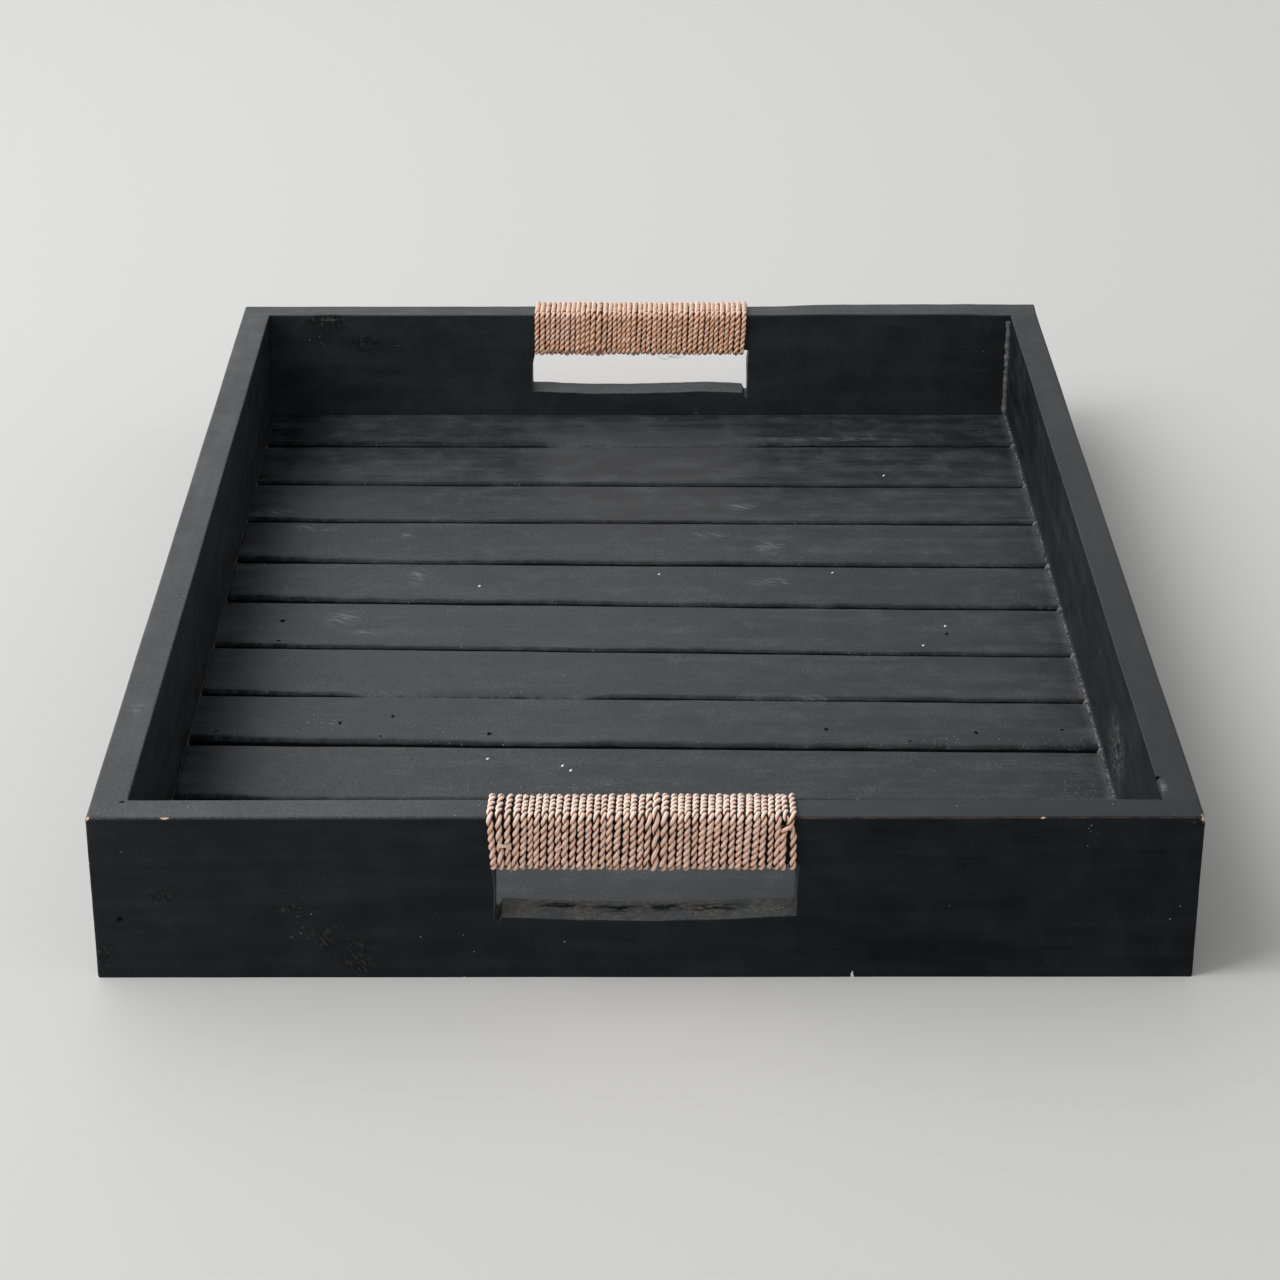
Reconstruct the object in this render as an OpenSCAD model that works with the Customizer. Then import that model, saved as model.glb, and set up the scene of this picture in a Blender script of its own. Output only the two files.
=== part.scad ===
// Wooden serving tray: four butt-jointed boards round a floor of cross slats,
// with a hand hole through each end board and cord wound round the bar above it.
// Length runs along Y, width along X, and the tray stands on Z = 0.

/* [Tray] */
// Overall length of the boards
tray_l = 500; // [400:1:600]
// Overall width of the boards
tray_w = 369; // [280:1:450]
// Height of the walls
wall_h = 62; // [56:0.5:90]

/* [Boards] */
// Thickness of the two end boards
end_board_t = 12.6; // [10:0.1:16]
// Thickness of the two side boards
side_board_t = 12.4; // [10:0.1:16]
// Radius eased on the boards' open edges
edge_r = 0.9; // [0.4:0.1:2]
// Radius on the lower corners of the end boards
foot_r = 2.2; // [1:0.1:4]

/* [Hand holes] */
// Width of each hand hole
hole_w = 100; // [80:1:130]
// Height of each hand hole at its two ends
hole_h = 19.7; // [17:0.1:26]
// How far the sawn lower edge sags at the middle
hole_sag = 1.9; // [0.5:0.1:3]
// Height of the wooden bar left above the hole
bar_h = 17.5; // [14:0.1:20]

/* [Floor] */
// Thickness of the slats
slat_t = 12; // [8:0.1:16]
// How far the slats lie above what the tray stands on
slat_lift = 0.6; // [0.2:0.1:2]
// Open seam between two slats
seam_gap = 1.2; // [0.4:0.1:2]
// Radius worn on the near upper edge of each slat
slat_edge_r = 3; // [1:0.1:4.5]
// Clearance at the ends of the slats
slat_end_gap = 0.15; // [0.05:0.05:0.5]

/* [Handle wraps] */
// Thickness of the wound cord, square to the bar
cord_t = 2.5; // [1.5:0.1:3.5]
// Clearance between the cord and the bar
cord_clear = 0.3; // [0.2:0.05:0.5]
// Clearance between the wrap's end turns and the hand hole's ends
wrap_end_gap = 0.4; // [0.2:0.1:3]
// Open gap from one turn to the next
turn_gap = 0.46; // [0.43:0.01:0.8]

/* [Nails] */
// Diameter of the nail shanks
nail_d = 1.8; // [1.4:0.1:2.4]
// Diameter of the nail heads
nail_head_d = 3.6; // [3:0.1:4.4]
// Thickness of the nail heads
nail_head_t = 1.2; // [0.8:0.1:1.6]
// Depth to which the heads are set below the wood
nail_set = 0.5; // [0.3:0.1:1]
// Clearance round each nail in its hole
nail_clear = 0.05; // [0.02:0.01:0.1]
// Length of the corner nails
corner_nail_l = 38; // [30:1:50]
// Height of the lower corner nails
corner_nail_low_z = 23.5; // [20:0.5:28]
// Height of the upper corner nails
corner_nail_high_z = 48.8; // [40:0.5:50]
// Length of the nails through the side boards into the slats
slat_nail_l = 30; // [24:1:40]

/* [Hidden] */
// Places of the seams between slats, front to back, as shares of the length inside the end boards
seam_shares = [0.094, 0.187, 0.2796, 0.3667, 0.4554, 0.5473, 0.6343, 0.7283, 0.816, 0.9137];
// How far each seam's right end lies in front of its left end, as shares of the average slat width
seam_skew_shares = [0.05, 0.1, 0.16, 0.17, 0.22, 0.21, 0.13, 0.08, 0.09, 0];
// Part of the hidden slat nail's length that is its point
nail_point_share = 0.1;

// Turns in one wrap, and rings of the swept tube at each corner of the bar
wrap_turns = 23;
corner_rings = 4;
tube_sides = 6;
fine_fn = 180;
nail_fn = 32;

// Overrun of every cut past the wood
over = edge_r;

slat_count = len(seam_shares) + 1;
inner_l = tray_l - 2 * end_board_t;
inner_w = tray_w - 2 * side_board_t;
slat_pitch = inner_l / slat_count;
slat_l = inner_w - 2 * slat_end_gap;
floor_z = slat_lift + slat_t;
bar_z = wall_h - bar_h;
hole_z = bar_z - hole_h;
corner_nail_x = tray_w / 2 - side_board_t / 2;
slat_nail_z = slat_lift + slat_t / 2;
side_colour = "#2b2c2e";
end_colour = "#242527";
slat_colour = "#333436";
cord_colour = "#cda28c";
steel_colour = "#8c8d8f";

slat_names = [for (i = [1:slat_count]) str("floor_slat_", i < 10 ? "0" : "", i)];

// Y of seam i at X: seam 0 is the front end board's inner face, the last is the rear one's
function seam_y(i, x) =
    i == 0 ? -inner_l / 2 :
    i == slat_count ? inner_l / 2 :
    inner_l * (seam_shares[i - 1] - 1 / 2) - seam_skew_shares[i - 1] * slat_pitch * x / inner_w;

// Y of the nail in each end of slat i, counted from 1, at X
function slat_nail_y(i, x) = (seam_y(i - 1, x) + seam_y(i, x)) / 2;

// Rectangle whose lower left corner is at the origin, with a radius on each corner:
// lower left, lower right, upper right, upper left
module eased_rectangle(w, h, radii) {
    corners = [[0, 0], [1, 0], [1, 1], [0, 1]];
    difference() {
        square([w, h]);
        for (i = [0:3]) if (radii[i] > 0) {
            translate([corners[i][0] * w, corners[i][1] * h])
                square(2 * radii[i], center = true);
        }
    }
    for (i = [0:3]) if (radii[i] > 0) {
        translate([
            corners[i][0] * w + (1 - 2 * corners[i][0]) * radii[i],
            corners[i][1] * h + (1 - 2 * corners[i][1]) * radii[i]
        ])
            circle(radii[i], $fn = fine_fn);
    }
}

// Extrudes a profile drawn in Y and Z along X, centred on X = 0
module along_x(length) {
    translate([-length / 2, 0, 0])
        rotate([90, 0, 90])
            linear_extrude(length)
                children();
}

// Extrudes a profile drawn in X and Z along Y, centred on Y = 0
module along_y(length) {
    translate([0, length / 2, 0])
        rotate([90, 0, 0])
            linear_extrude(length)
                children();
}

// Cuts a radius on a straight edge along X, on wood that lies at Y > 0 and Z < 0
module edge_cut(length, r) {
    along_x(length)
        difference() {
            translate([-over, -r])
                square([r + over, r + over]);
            translate([r, -r])
                circle(r, $fn = fine_fn);
        }
}

// A set nail along +Z: its head's top is at Z = 0 and its point at Z = -length
module nail(length) {
    point_l = nail_point_share * length;
    rotate_extrude($fn = nail_fn)
        polygon([
            [0, -length],
            [nail_d / 2, point_l - length],
            [nail_d / 2, -nail_head_t],
            [nail_head_d / 2, -nail_head_t / 2],
            [nail_head_d / 2, 0],
            [0, 0]
        ]);
}

// The hole that a nail leaves, from above the wood's face at Z = nail_set down to its point
module nail_hole(length) {
    translate([0, 0, -length - nail_clear])
        cylinder(h = length + nail_clear + nail_set + over, r = nail_d / 2 + nail_clear, $fn = nail_fn);
    translate([0, 0, -nail_head_t - nail_clear])
        cylinder(h = nail_head_t + nail_clear + nail_set + over, r = nail_head_d / 2 + nail_clear, $fn = nail_fn);
}

// Puts its children at the four nails through the front end board, each along -Y to its head
module at_corner_nails() {
    for (side = [-1, 1], z = [corner_nail_low_z, corner_nail_high_z]) {
        translate([side * corner_nail_x, nail_set - tray_l / 2, z])
            rotate([90, 0, 0])
                children();
    }
}

// Puts its children at the nails through the side board on the given side, each with its head outside
module at_slat_nails(side) {
    for (i = [1:slat_count]) {
        translate([side * (tray_w / 2 - nail_set), slat_nail_y(i, side * inner_w / 2), slat_nail_z])
            rotate([0, side * 90, 0])
                children();
    }
}

// Outline of the hand hole in X and Z, its lower edge sawn to a shallow sag
module hole_outline() {
    sag_r = (pow(hole_w / 2, 2) + pow(hole_sag, 2)) / (2 * hole_sag);
    intersection() {
        translate([-hole_w / 2, hole_z - hole_sag])
            square([hole_w, hole_h + hole_sag]);
        translate([0, hole_z - hole_sag + sag_r])
            circle(sag_r, $fn = fine_fn);
    }
}

// End board at the front, with its hand hole; the bar above the hole is eased all round
module end_board() {
    front_y = -tray_l / 2;
    inner_y = front_y + end_board_t;
    difference() {
        intersection() {
            translate([-tray_w / 2, front_y, 0])
                linear_extrude(wall_h)
                    eased_rectangle(tray_w, end_board_t, [edge_r, edge_r, 0, 0]);
            translate([0, front_y, 0])
                along_x(tray_w)
                    eased_rectangle(end_board_t, wall_h, [edge_r, 0, 0, edge_r]);
            translate([-tray_w / 2, front_y + end_board_t / 2, 0])
                along_y(end_board_t)
                    eased_rectangle(tray_w, wall_h, [foot_r, foot_r, edge_r, edge_r]);
        }
        translate([0, front_y + end_board_t / 2, 0])
            along_y(end_board_t + 2 * over)
                hole_outline();
        translate([0, inner_y, wall_h])
            mirror([0, 1, 0])
                edge_cut(inner_w, edge_r);
        translate([0, front_y, bar_z])
            mirror([0, 0, 1])
                edge_cut(hole_w, edge_r);
        translate([0, inner_y, bar_z])
            mirror([0, 1, 0])
                mirror([0, 0, 1])
                    edge_cut(hole_w, edge_r);
        at_corner_nails()
            nail_hole(corner_nail_l);
    }
}

module front_end_board() {
    color(end_colour)
        end_board();
}

module rear_end_board() {
    color(end_colour)
        mirror([0, 1, 0])
            end_board();
}

// Side board on the given side, butted between the end boards
module side_board(side) {
    difference() {
        translate([side * (tray_w / 2 - side_board_t / 2) - side_board_t / 2, 0, 0])
            along_y(inner_l)
                eased_rectangle(side_board_t, wall_h, [
                    side < 0 ? edge_r : 0,
                    side > 0 ? edge_r : 0,
                    edge_r,
                    edge_r
                ]);
        at_corner_nails()
            nail_hole(corner_nail_l);
        mirror([0, 1, 0])
            at_corner_nails()
                nail_hole(corner_nail_l);
        at_slat_nails(side)
            nail_hole(slat_nail_l);
    }
}

module left_side_board() {
    color(side_colour)
        side_board(-1);
}

module right_side_board() {
    color(side_colour)
        side_board(1);
}

// Floor slat i, counted from 1 at the front: its edges follow the slightly skewed seams
module floor_slat(i) {
    end_x = slat_l / 2;
    front_l = seam_y(i - 1, -end_x) + seam_gap / 2;
    front_r = seam_y(i - 1, end_x) + seam_gap / 2;
    back_l = seam_y(i, -end_x) - seam_gap / 2;
    back_r = seam_y(i, end_x) - seam_gap / 2;
    color(slat_colour)
        difference() {
            translate([0, 0, slat_lift])
                linear_extrude(slat_t)
                    polygon([[-end_x, front_l], [end_x, front_r], [end_x, back_r], [-end_x, back_l]]);
            translate([0, (front_l + front_r) / 2, floor_z])
                rotate([0, 0, atan2(front_r - front_l, slat_l)])
                    edge_cut(inner_w, slat_edge_r);
            for (side = [-1, 1]) {
                at_slat_nails(side)
                    nail_hole(slat_nail_l);
            }
        }
}

// The wound cord's path round the bar: a rounded rectangle in Y and Z, one corner after another
cord_offset = cord_clear + cord_t / 2;
path_r = edge_r + cord_offset;
path_flat_y = end_board_t - 2 * edge_r;
path_flat_z = bar_h - 2 * edge_r;
path_arc = path_r * PI / 2;
path_round = 4 * path_arc + 2 * path_flat_y + 2 * path_flat_z;
path_full_turns = wrap_turns - path_flat_y / path_round;
wrap_w = hole_w - 2 * wrap_end_gap;
turn_w = (wrap_w - turn_gap * path_full_turns) / (1 + path_full_turns);
turn_pitch = turn_w + turn_gap;
bar_y = end_board_t / 2 - tray_l / 2;

// Corners in winding order: lower front, upper front, upper back, lower back
corner_side_y = [-1, -1, 1, 1];
corner_side_z = [-1, 1, 1, -1];
corner_start = [0, path_flat_z, path_flat_z + path_flat_y, 2 * path_flat_z + path_flat_y];

// Outward direction at ring j of corner c, in Y and Z
function ring_out(c, j) =
    let (angle = 270 - 90 * c - 90 * j / (corner_rings - 1))
    [0, cos(angle), sin(angle)];

// Middle of the tube at ring j of corner c of turn k
function ring_middle(k, c, j) =
    let (travel = corner_start[c] + path_arc * (c + j / (corner_rings - 1)))
    [
        turn_w / 2 - wrap_w / 2 + turn_pitch * (k + travel / path_round),
        bar_y + corner_side_y[c] * path_flat_y / 2 + path_r * ring_out(c, j)[1],
        bar_z + bar_h / 2 + corner_side_z[c] * path_flat_z / 2 + path_r * ring_out(c, j)[2]
    ];

// Six points of the tube's section round a middle point: wide along the bar, flat to the wood
function tube_section(middle, out) = [
    for (a = [0:tube_sides - 1])
        middle + [turn_w / 2 * cos(360 * a / tube_sides), 0, 0]
            + out * cord_t / 2 / sin(360 / tube_sides) * sin(360 * a / tube_sides)
];

// Every section in order, with a straight run of one cord thickness under the bar at each end
turn_sections = [
    for (k = [0:wrap_turns - 1], c = [0:3], j = [0:corner_rings - 1])
        tube_section(ring_middle(k, c, j), ring_out(c, j))
];
tail_start = tube_section(ring_middle(0, 0, 0) + [0, cord_t, 0], ring_out(0, 0));
tail_end = tube_section(
    ring_middle(wrap_turns - 1, 3, corner_rings - 1) - [0, cord_t, 0],
    ring_out(3, corner_rings - 1)
);
wrap_sections = concat([tail_start], turn_sections, [tail_end]);

// Least distance from any point of one turn to the points of the turn beside it
turn_rings = 4 * corner_rings;
least_turn_gap = min([
    for (i = [0:len(turn_sections) - turn_rings - 1], step = [-1:1])
        let (beside = i + turn_rings + step)
        if (beside < len(turn_sections))
            min([for (p = turn_sections[i], q = turn_sections[beside]) norm(p - q)])
]);
echo(least_turn_gap_mm = least_turn_gap);

// One unbroken cord wound round the front bar
module handle_wrap() {
    last = len(wrap_sections) - 1;
    points = [for (section = wrap_sections, p = section) p];
    walls = [
        for (i = [0:last - 1], a = [0:tube_sides - 1])
            let (
                next = (a + 1) % tube_sides,
                here = i * tube_sides,
                there = (i + 1) * tube_sides
            )
            each [[here + a, here + next, there + a], [here + next, there + next, there + a]]
    ];
    caps = [
        for (a = [1:tube_sides - 2])
            each [
                [0, a + 1, a],
                [last * tube_sides, last * tube_sides + a, last * tube_sides + a + 1]
            ]
    ];
    polyhedron(points, concat(walls, caps), convexity = 10);
}

module front_handle_wrap() {
    color(cord_colour)
        handle_wrap();
}

module rear_handle_wrap() {
    color(cord_colour)
        translate([0, -2 * bar_y, 0])
            handle_wrap();
}

module front_corner_nails() {
    color(steel_colour)
        at_corner_nails()
            nail(corner_nail_l);
}

module rear_corner_nails() {
    color(steel_colour)
        mirror([0, 1, 0])
            at_corner_nails()
                nail(corner_nail_l);
}

module left_slat_nails() {
    color(steel_colour)
        at_slat_nails(-1)
            nail(slat_nail_l);
}

module right_slat_nails() {
    color(steel_colour)
        at_slat_nails(1)
            nail(slat_nail_l);
}

front_end_board();
rear_end_board();
left_side_board();
right_side_board();
for (i = [1:slat_count]) floor_slat(i);
front_handle_wrap();
rear_handle_wrap();
front_corner_nails();
rear_corner_nails();
left_slat_nails();
right_slat_nails();
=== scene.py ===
import math
import random
from functools import partial

import bmesh
import bpy
import numpy as np
from mathutils import Matrix, Vector, noise


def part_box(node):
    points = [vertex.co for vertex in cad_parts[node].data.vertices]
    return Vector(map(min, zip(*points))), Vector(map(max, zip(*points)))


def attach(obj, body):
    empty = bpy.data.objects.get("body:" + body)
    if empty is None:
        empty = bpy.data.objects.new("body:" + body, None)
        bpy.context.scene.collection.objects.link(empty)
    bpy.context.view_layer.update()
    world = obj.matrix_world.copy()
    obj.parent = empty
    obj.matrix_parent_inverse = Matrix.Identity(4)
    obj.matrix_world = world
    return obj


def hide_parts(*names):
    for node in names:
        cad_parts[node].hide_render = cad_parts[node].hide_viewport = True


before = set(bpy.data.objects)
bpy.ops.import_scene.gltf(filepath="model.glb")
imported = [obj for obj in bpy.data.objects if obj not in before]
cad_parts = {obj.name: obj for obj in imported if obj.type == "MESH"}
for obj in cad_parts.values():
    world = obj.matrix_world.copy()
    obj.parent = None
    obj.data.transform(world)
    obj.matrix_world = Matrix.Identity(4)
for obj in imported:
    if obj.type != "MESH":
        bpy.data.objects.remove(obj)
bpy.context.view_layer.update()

# The view that the tray is seen from: a long lens over its front end, looking down at about 25
# degrees. Its place was solved from the tray's corners.
MM = 0.001


def put_in_scene(name, data):
    """Object that shows the data, at the origin."""
    thing = bpy.data.objects.new(name, data)
    bpy.context.scene.collection.objects.link(thing)
    return thing


camera_place = Vector((-6.2, -1191.3, 574.4)) * MM
camera_down = math.radians(25.434)
camera_turn = math.radians(-0.255)
camera_roll = math.radians(0.082)
camera_data = bpy.data.cameras.new("long_lens")
camera_data.lens = 91.46
camera_data.sensor_width = 36
camera_data.clip_end = 20
camera = put_in_scene("long_lens", camera_data)
camera.matrix_world = (
    Matrix.Translation(camera_place)
    @ Matrix.Rotation(camera_turn, 4, "Z")
    @ Matrix.Rotation(math.radians(90) - camera_down, 4, "X")
    @ Matrix.Rotation(camera_roll, 4, "Z")
)
bpy.context.scene.camera = camera

# The end boards are planed softwood, about 12 mm thick, with a hand hole sawn by hand and
# painted over. The holes' lower edges wander, one corner of each is overcut, and the arrises
# are worn, with a few chips down to bare wood.
X, Y, Z = 0, 1, 2
ease_steps = [0, 0.42, 0.73, 1]
ease_radius = 0.9 * MM
foot_radius = 2.2 * MM
board_step = 1.8 * MM
chip_step = 0.38 * MM
chip_reach = 3.2 * MM
beside_edge = 0.4 * MM
sharp_angle = math.radians(50)


def stations(low, high, marks=(), radius=0):
    """Places from low to high, closer together by each mark and in the round of both arrises."""
    ends = [share * radius for share in ease_steps] + [radius + beside_edge] if radius else [0]
    places = [low + end for end in ends]
    last = [high - end for end in reversed(ends)]
    while places[-1] < last[0] - board_step * 0.5:
        near_mark = any(abs(places[-1] - mark) < chip_reach for mark in marks)
        places.append(min(places[-1] + (chip_step if near_mark else board_step), last[0]))
    if last[0] - places[-1] < 1e-7:
        places.pop()
    return places + last


def block_mesh(xs, ys, zs, is_hole=lambda x, z: False):
    """Skin of the block between the stations, left open where is_hole says so of a cell's middle."""
    counts = (len(xs) - 1, len(ys) - 1, len(zs) - 1)
    solid = [
        [not is_hole((xs[i] + xs[i + 1]) / 2, (zs[k] + zs[k + 1]) / 2) for k in range(counts[Z])]
        for i in range(counts[X])
    ]

    def is_solid(i, j, k):
        """Whether a cell is there and is wood."""
        inside = 0 <= i < counts[X] and 0 <= j < counts[Y] and 0 <= k < counts[Z]
        return inside and solid[i][k]

    sides = {
        (-1, 0, 0): ((0, 0, 0), (0, 0, 1), (0, 1, 1), (0, 1, 0)),
        (1, 0, 0): ((1, 0, 0), (1, 1, 0), (1, 1, 1), (1, 0, 1)),
        (0, -1, 0): ((0, 0, 0), (1, 0, 0), (1, 0, 1), (0, 0, 1)),
        (0, 1, 0): ((0, 1, 0), (0, 1, 1), (1, 1, 1), (1, 1, 0)),
        (0, 0, -1): ((0, 0, 0), (0, 1, 0), (1, 1, 0), (1, 0, 0)),
        (0, 0, 1): ((0, 0, 1), (1, 0, 1), (1, 1, 1), (0, 1, 1)),
    }
    found = {}
    points = []
    faces = []
    for i in range(counts[X]):
        for k in range(counts[Z]):
            if not solid[i][k]:
                continue
            for j in range(counts[Y]):
                for (di, dj, dk), ring in sides.items():
                    if is_solid(i + di, j + dj, k + dk):
                        continue
                    face = []
                    for a, b, c in ring:
                        key = (i + a, j + b, k + c)
                        if key not in found:
                            found[key] = len(points)
                            points.append((xs[key[0]], ys[key[1]], zs[key[2]]))
                        face.append(found[key])
                    faces.append(face)
    return np.array(points), faces


def ease_arris(points, first, second, radius, where=True):
    """Rounds the arris between two faces, each given as its axis, its place and the way to the wood."""
    (axis_a, face_a, way_a), (axis_b, face_b, way_b) = first, second
    short_a = np.clip(radius - (points[:, axis_a] - face_a) * way_a, 0, None)
    short_b = np.clip(radius - (points[:, axis_b] - face_b) * way_b, 0, None)
    pull = 1 - 1 / np.maximum(np.hypot(short_a, short_b) / radius, 1)
    pull = np.where(where, pull, 0)
    points[:, axis_a] += way_a * short_a * pull
    points[:, axis_b] += way_b * short_b * pull


def wander(points, size, seed):
    """Smooth noise from -1 to 1 at each point, its patches about size across."""
    shift = Vector((seed * 3.1, seed * 7.7, seed * 1.3))
    scale = Vector((1, 1, 1)) / size
    return np.array([noise.noise(Vector(p) * scale + shift) for p in points])


def ramp(values, start, stop):
    """Values eased from 0 at start to 1 at stop."""
    share = np.clip((np.asarray(values) - start) / (stop - start), 0, 1)
    return share * share * (3 - 2 * share)


def worn_radius(points, seed):
    """Radius of an arris that hands and sandpaper wore unevenly."""
    long_wear, short_wear = wander(points, 14 * MM, seed), wander(points, 3 * MM, seed + 1)
    return ease_radius * (1 + 0.35 * long_wear + 0.25 * short_wear)


def hand_finish(points, seed, keep):
    """Slight hollows and humps that a plane and a sanding block leave, none where keep is 1."""
    free = 1 - keep
    depth = 0.14 * MM
    for axis in (X, Y, Z):
        points[:, axis] += free * depth * wander(points, 45 * MM, seed + axis)


def away_from(points, place, reach):
    """How many reaches each point is away from a place."""
    return np.linalg.norm((points - np.array(place) * MM) / (np.array(reach) * MM), axis=1)


def spot_shares(points, spots):
    """How deep each point lies in the nearest of the spots, given as places and reaches, from 0 to 1."""
    share = np.zeros(len(points))
    for place, reach in spots:
        share = np.maximum(share, np.clip(1 - away_from(points, place, reach), 0, 1))
    return share


def knock_chips(points, chips, seed):
    """Pushes the wood in at each chip; returns how bare and pale each point is left, and its painted shade
    in the dent.
    """
    left = {finish: np.zeros(len(points)) for finish in ("bare", "dark", "fleck")}
    for number, (place, reach, push, finish) in enumerate(chips):
        away = away_from(points, place, reach)
        depth = np.clip(1 - away - 0.3 * wander(points, min(reach) * 0.7 * MM, seed + number), 0, 1)
        points += np.array(push) * MM * np.minimum(depth * 2.2, 1)[:, None]
        if finish in left:
            left[finish] = np.maximum(left[finish], np.clip(depth * 5, 0, 1))
    return left


def finished_piece(name, points, faces, material, marks):
    """Object at the origin with the given mesh, smooth, with its named marks as point attributes."""
    mesh = bpy.data.meshes.new(name)
    mesh.from_pydata(points.tolist(), [], faces)
    for mark, values in marks.items():
        attribute = mesh.attributes.new(mark, "FLOAT", "POINT")
        attribute.data.foreach_set("value", np.asarray(values, np.float32))
    mesh.shade_smooth()
    mesh.set_sharp_from_angle(angle=sharp_angle)
    mesh.materials.append(material)
    return put_in_scene(name, mesh)


def fill(node, **inputs):
    """Gives a node's inputs their values, or other nodes' outputs; _0 is its first input."""
    for name, value in inputs.items():
        entry = node.inputs[int(name[1:]) if name[1:].isdigit() else name.replace("_", " ")]
        if isinstance(value, bpy.types.NodeSocket):
            node.id_data.links.new(value, entry)
        else:
            entry.default_value = value


def socket(tree, node_type, output=0, **given):
    """One output of a new node. Names in small letters are its settings, the others its inputs."""
    node = tree.nodes.new(node_type)
    for setting in [name for name in given if name[0].islower()]:
        setattr(node, setting, given.pop(setting))
    fill(node, **given)
    return node.outputs[output]


def sums(operation, *values):
    """One step of arithmetic on numbers, in the tree that they come from."""
    tree = next(value.id_data for value in values if isinstance(value, bpy.types.NodeSocket))
    numbers = dict(zip(("_0", "_1", "_2"), values + (0.0, 0.0)))
    return socket(tree, "ShaderNodeMath", operation=operation, **numbers)


times, plus, less, divided, times_plus, larger, smaller = (
    partial(sums, operation)
    for operation in ("MULTIPLY", "ADD", "SUBTRACT", "DIVIDE", "MULTIPLY_ADD", "MAXIMUM", "MINIMUM")
)


def vectors(operation, a, output=0, **others):
    """One step of arithmetic on vectors."""
    return socket(a.id_data, "ShaderNodeVectorMath", output, operation=operation, _0=a, **others)


def spread(value, low, high, to_low=0.0, to_high=1.0):
    """Value from low to high, eased to run from to_low to to_high and held there past both."""
    ends = {"From_Min": low, "From_Max": high, "To_Min": to_low, "To_Max": to_high}
    eased = {"interpolation_type": "SMOOTHSTEP", "Value": value}
    return socket(value.id_data, "ShaderNodeMapRange", **eased, **ends)


def blended(share, low, high):
    """Colour between low and high."""
    return socket(share.id_data, "ShaderNodeMix", 2, data_type="RGBA", _0=share, _6=low, _7=high)


def patches(place, scale, detail=2.0, roughness=0.5):
    """Noise from 0 to 1 in a material or a shape."""
    sizes = {"Scale": scale, "Detail": detail, "Roughness": roughness}
    return socket(place.id_data, "ShaderNodeTexNoise", Vector=place, **sizes)


def new_finish(name):
    """New material, with its node tree, its shader and the place on the piece that its nodes read."""
    material = bpy.data.materials.new(name)
    material.use_nodes = True
    tree = material.node_tree
    return material, tree, tree.nodes["Principled BSDF"], socket(tree, "ShaderNodeTexCoord", 3)


def mark_of(tree, name):
    """A piece's named mark, as a number in its material."""
    return socket(tree, "ShaderNodeAttribute", 2, attribute_name=name)


def relief(shader, strength, distance, height):
    """Makes a finish stand up by its height."""
    sizes = {"Strength": strength, "Distance": distance, "Height": height}
    fill(shader, Normal=socket(shader.id_data, "ShaderNodeBump", **sizes))


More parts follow.
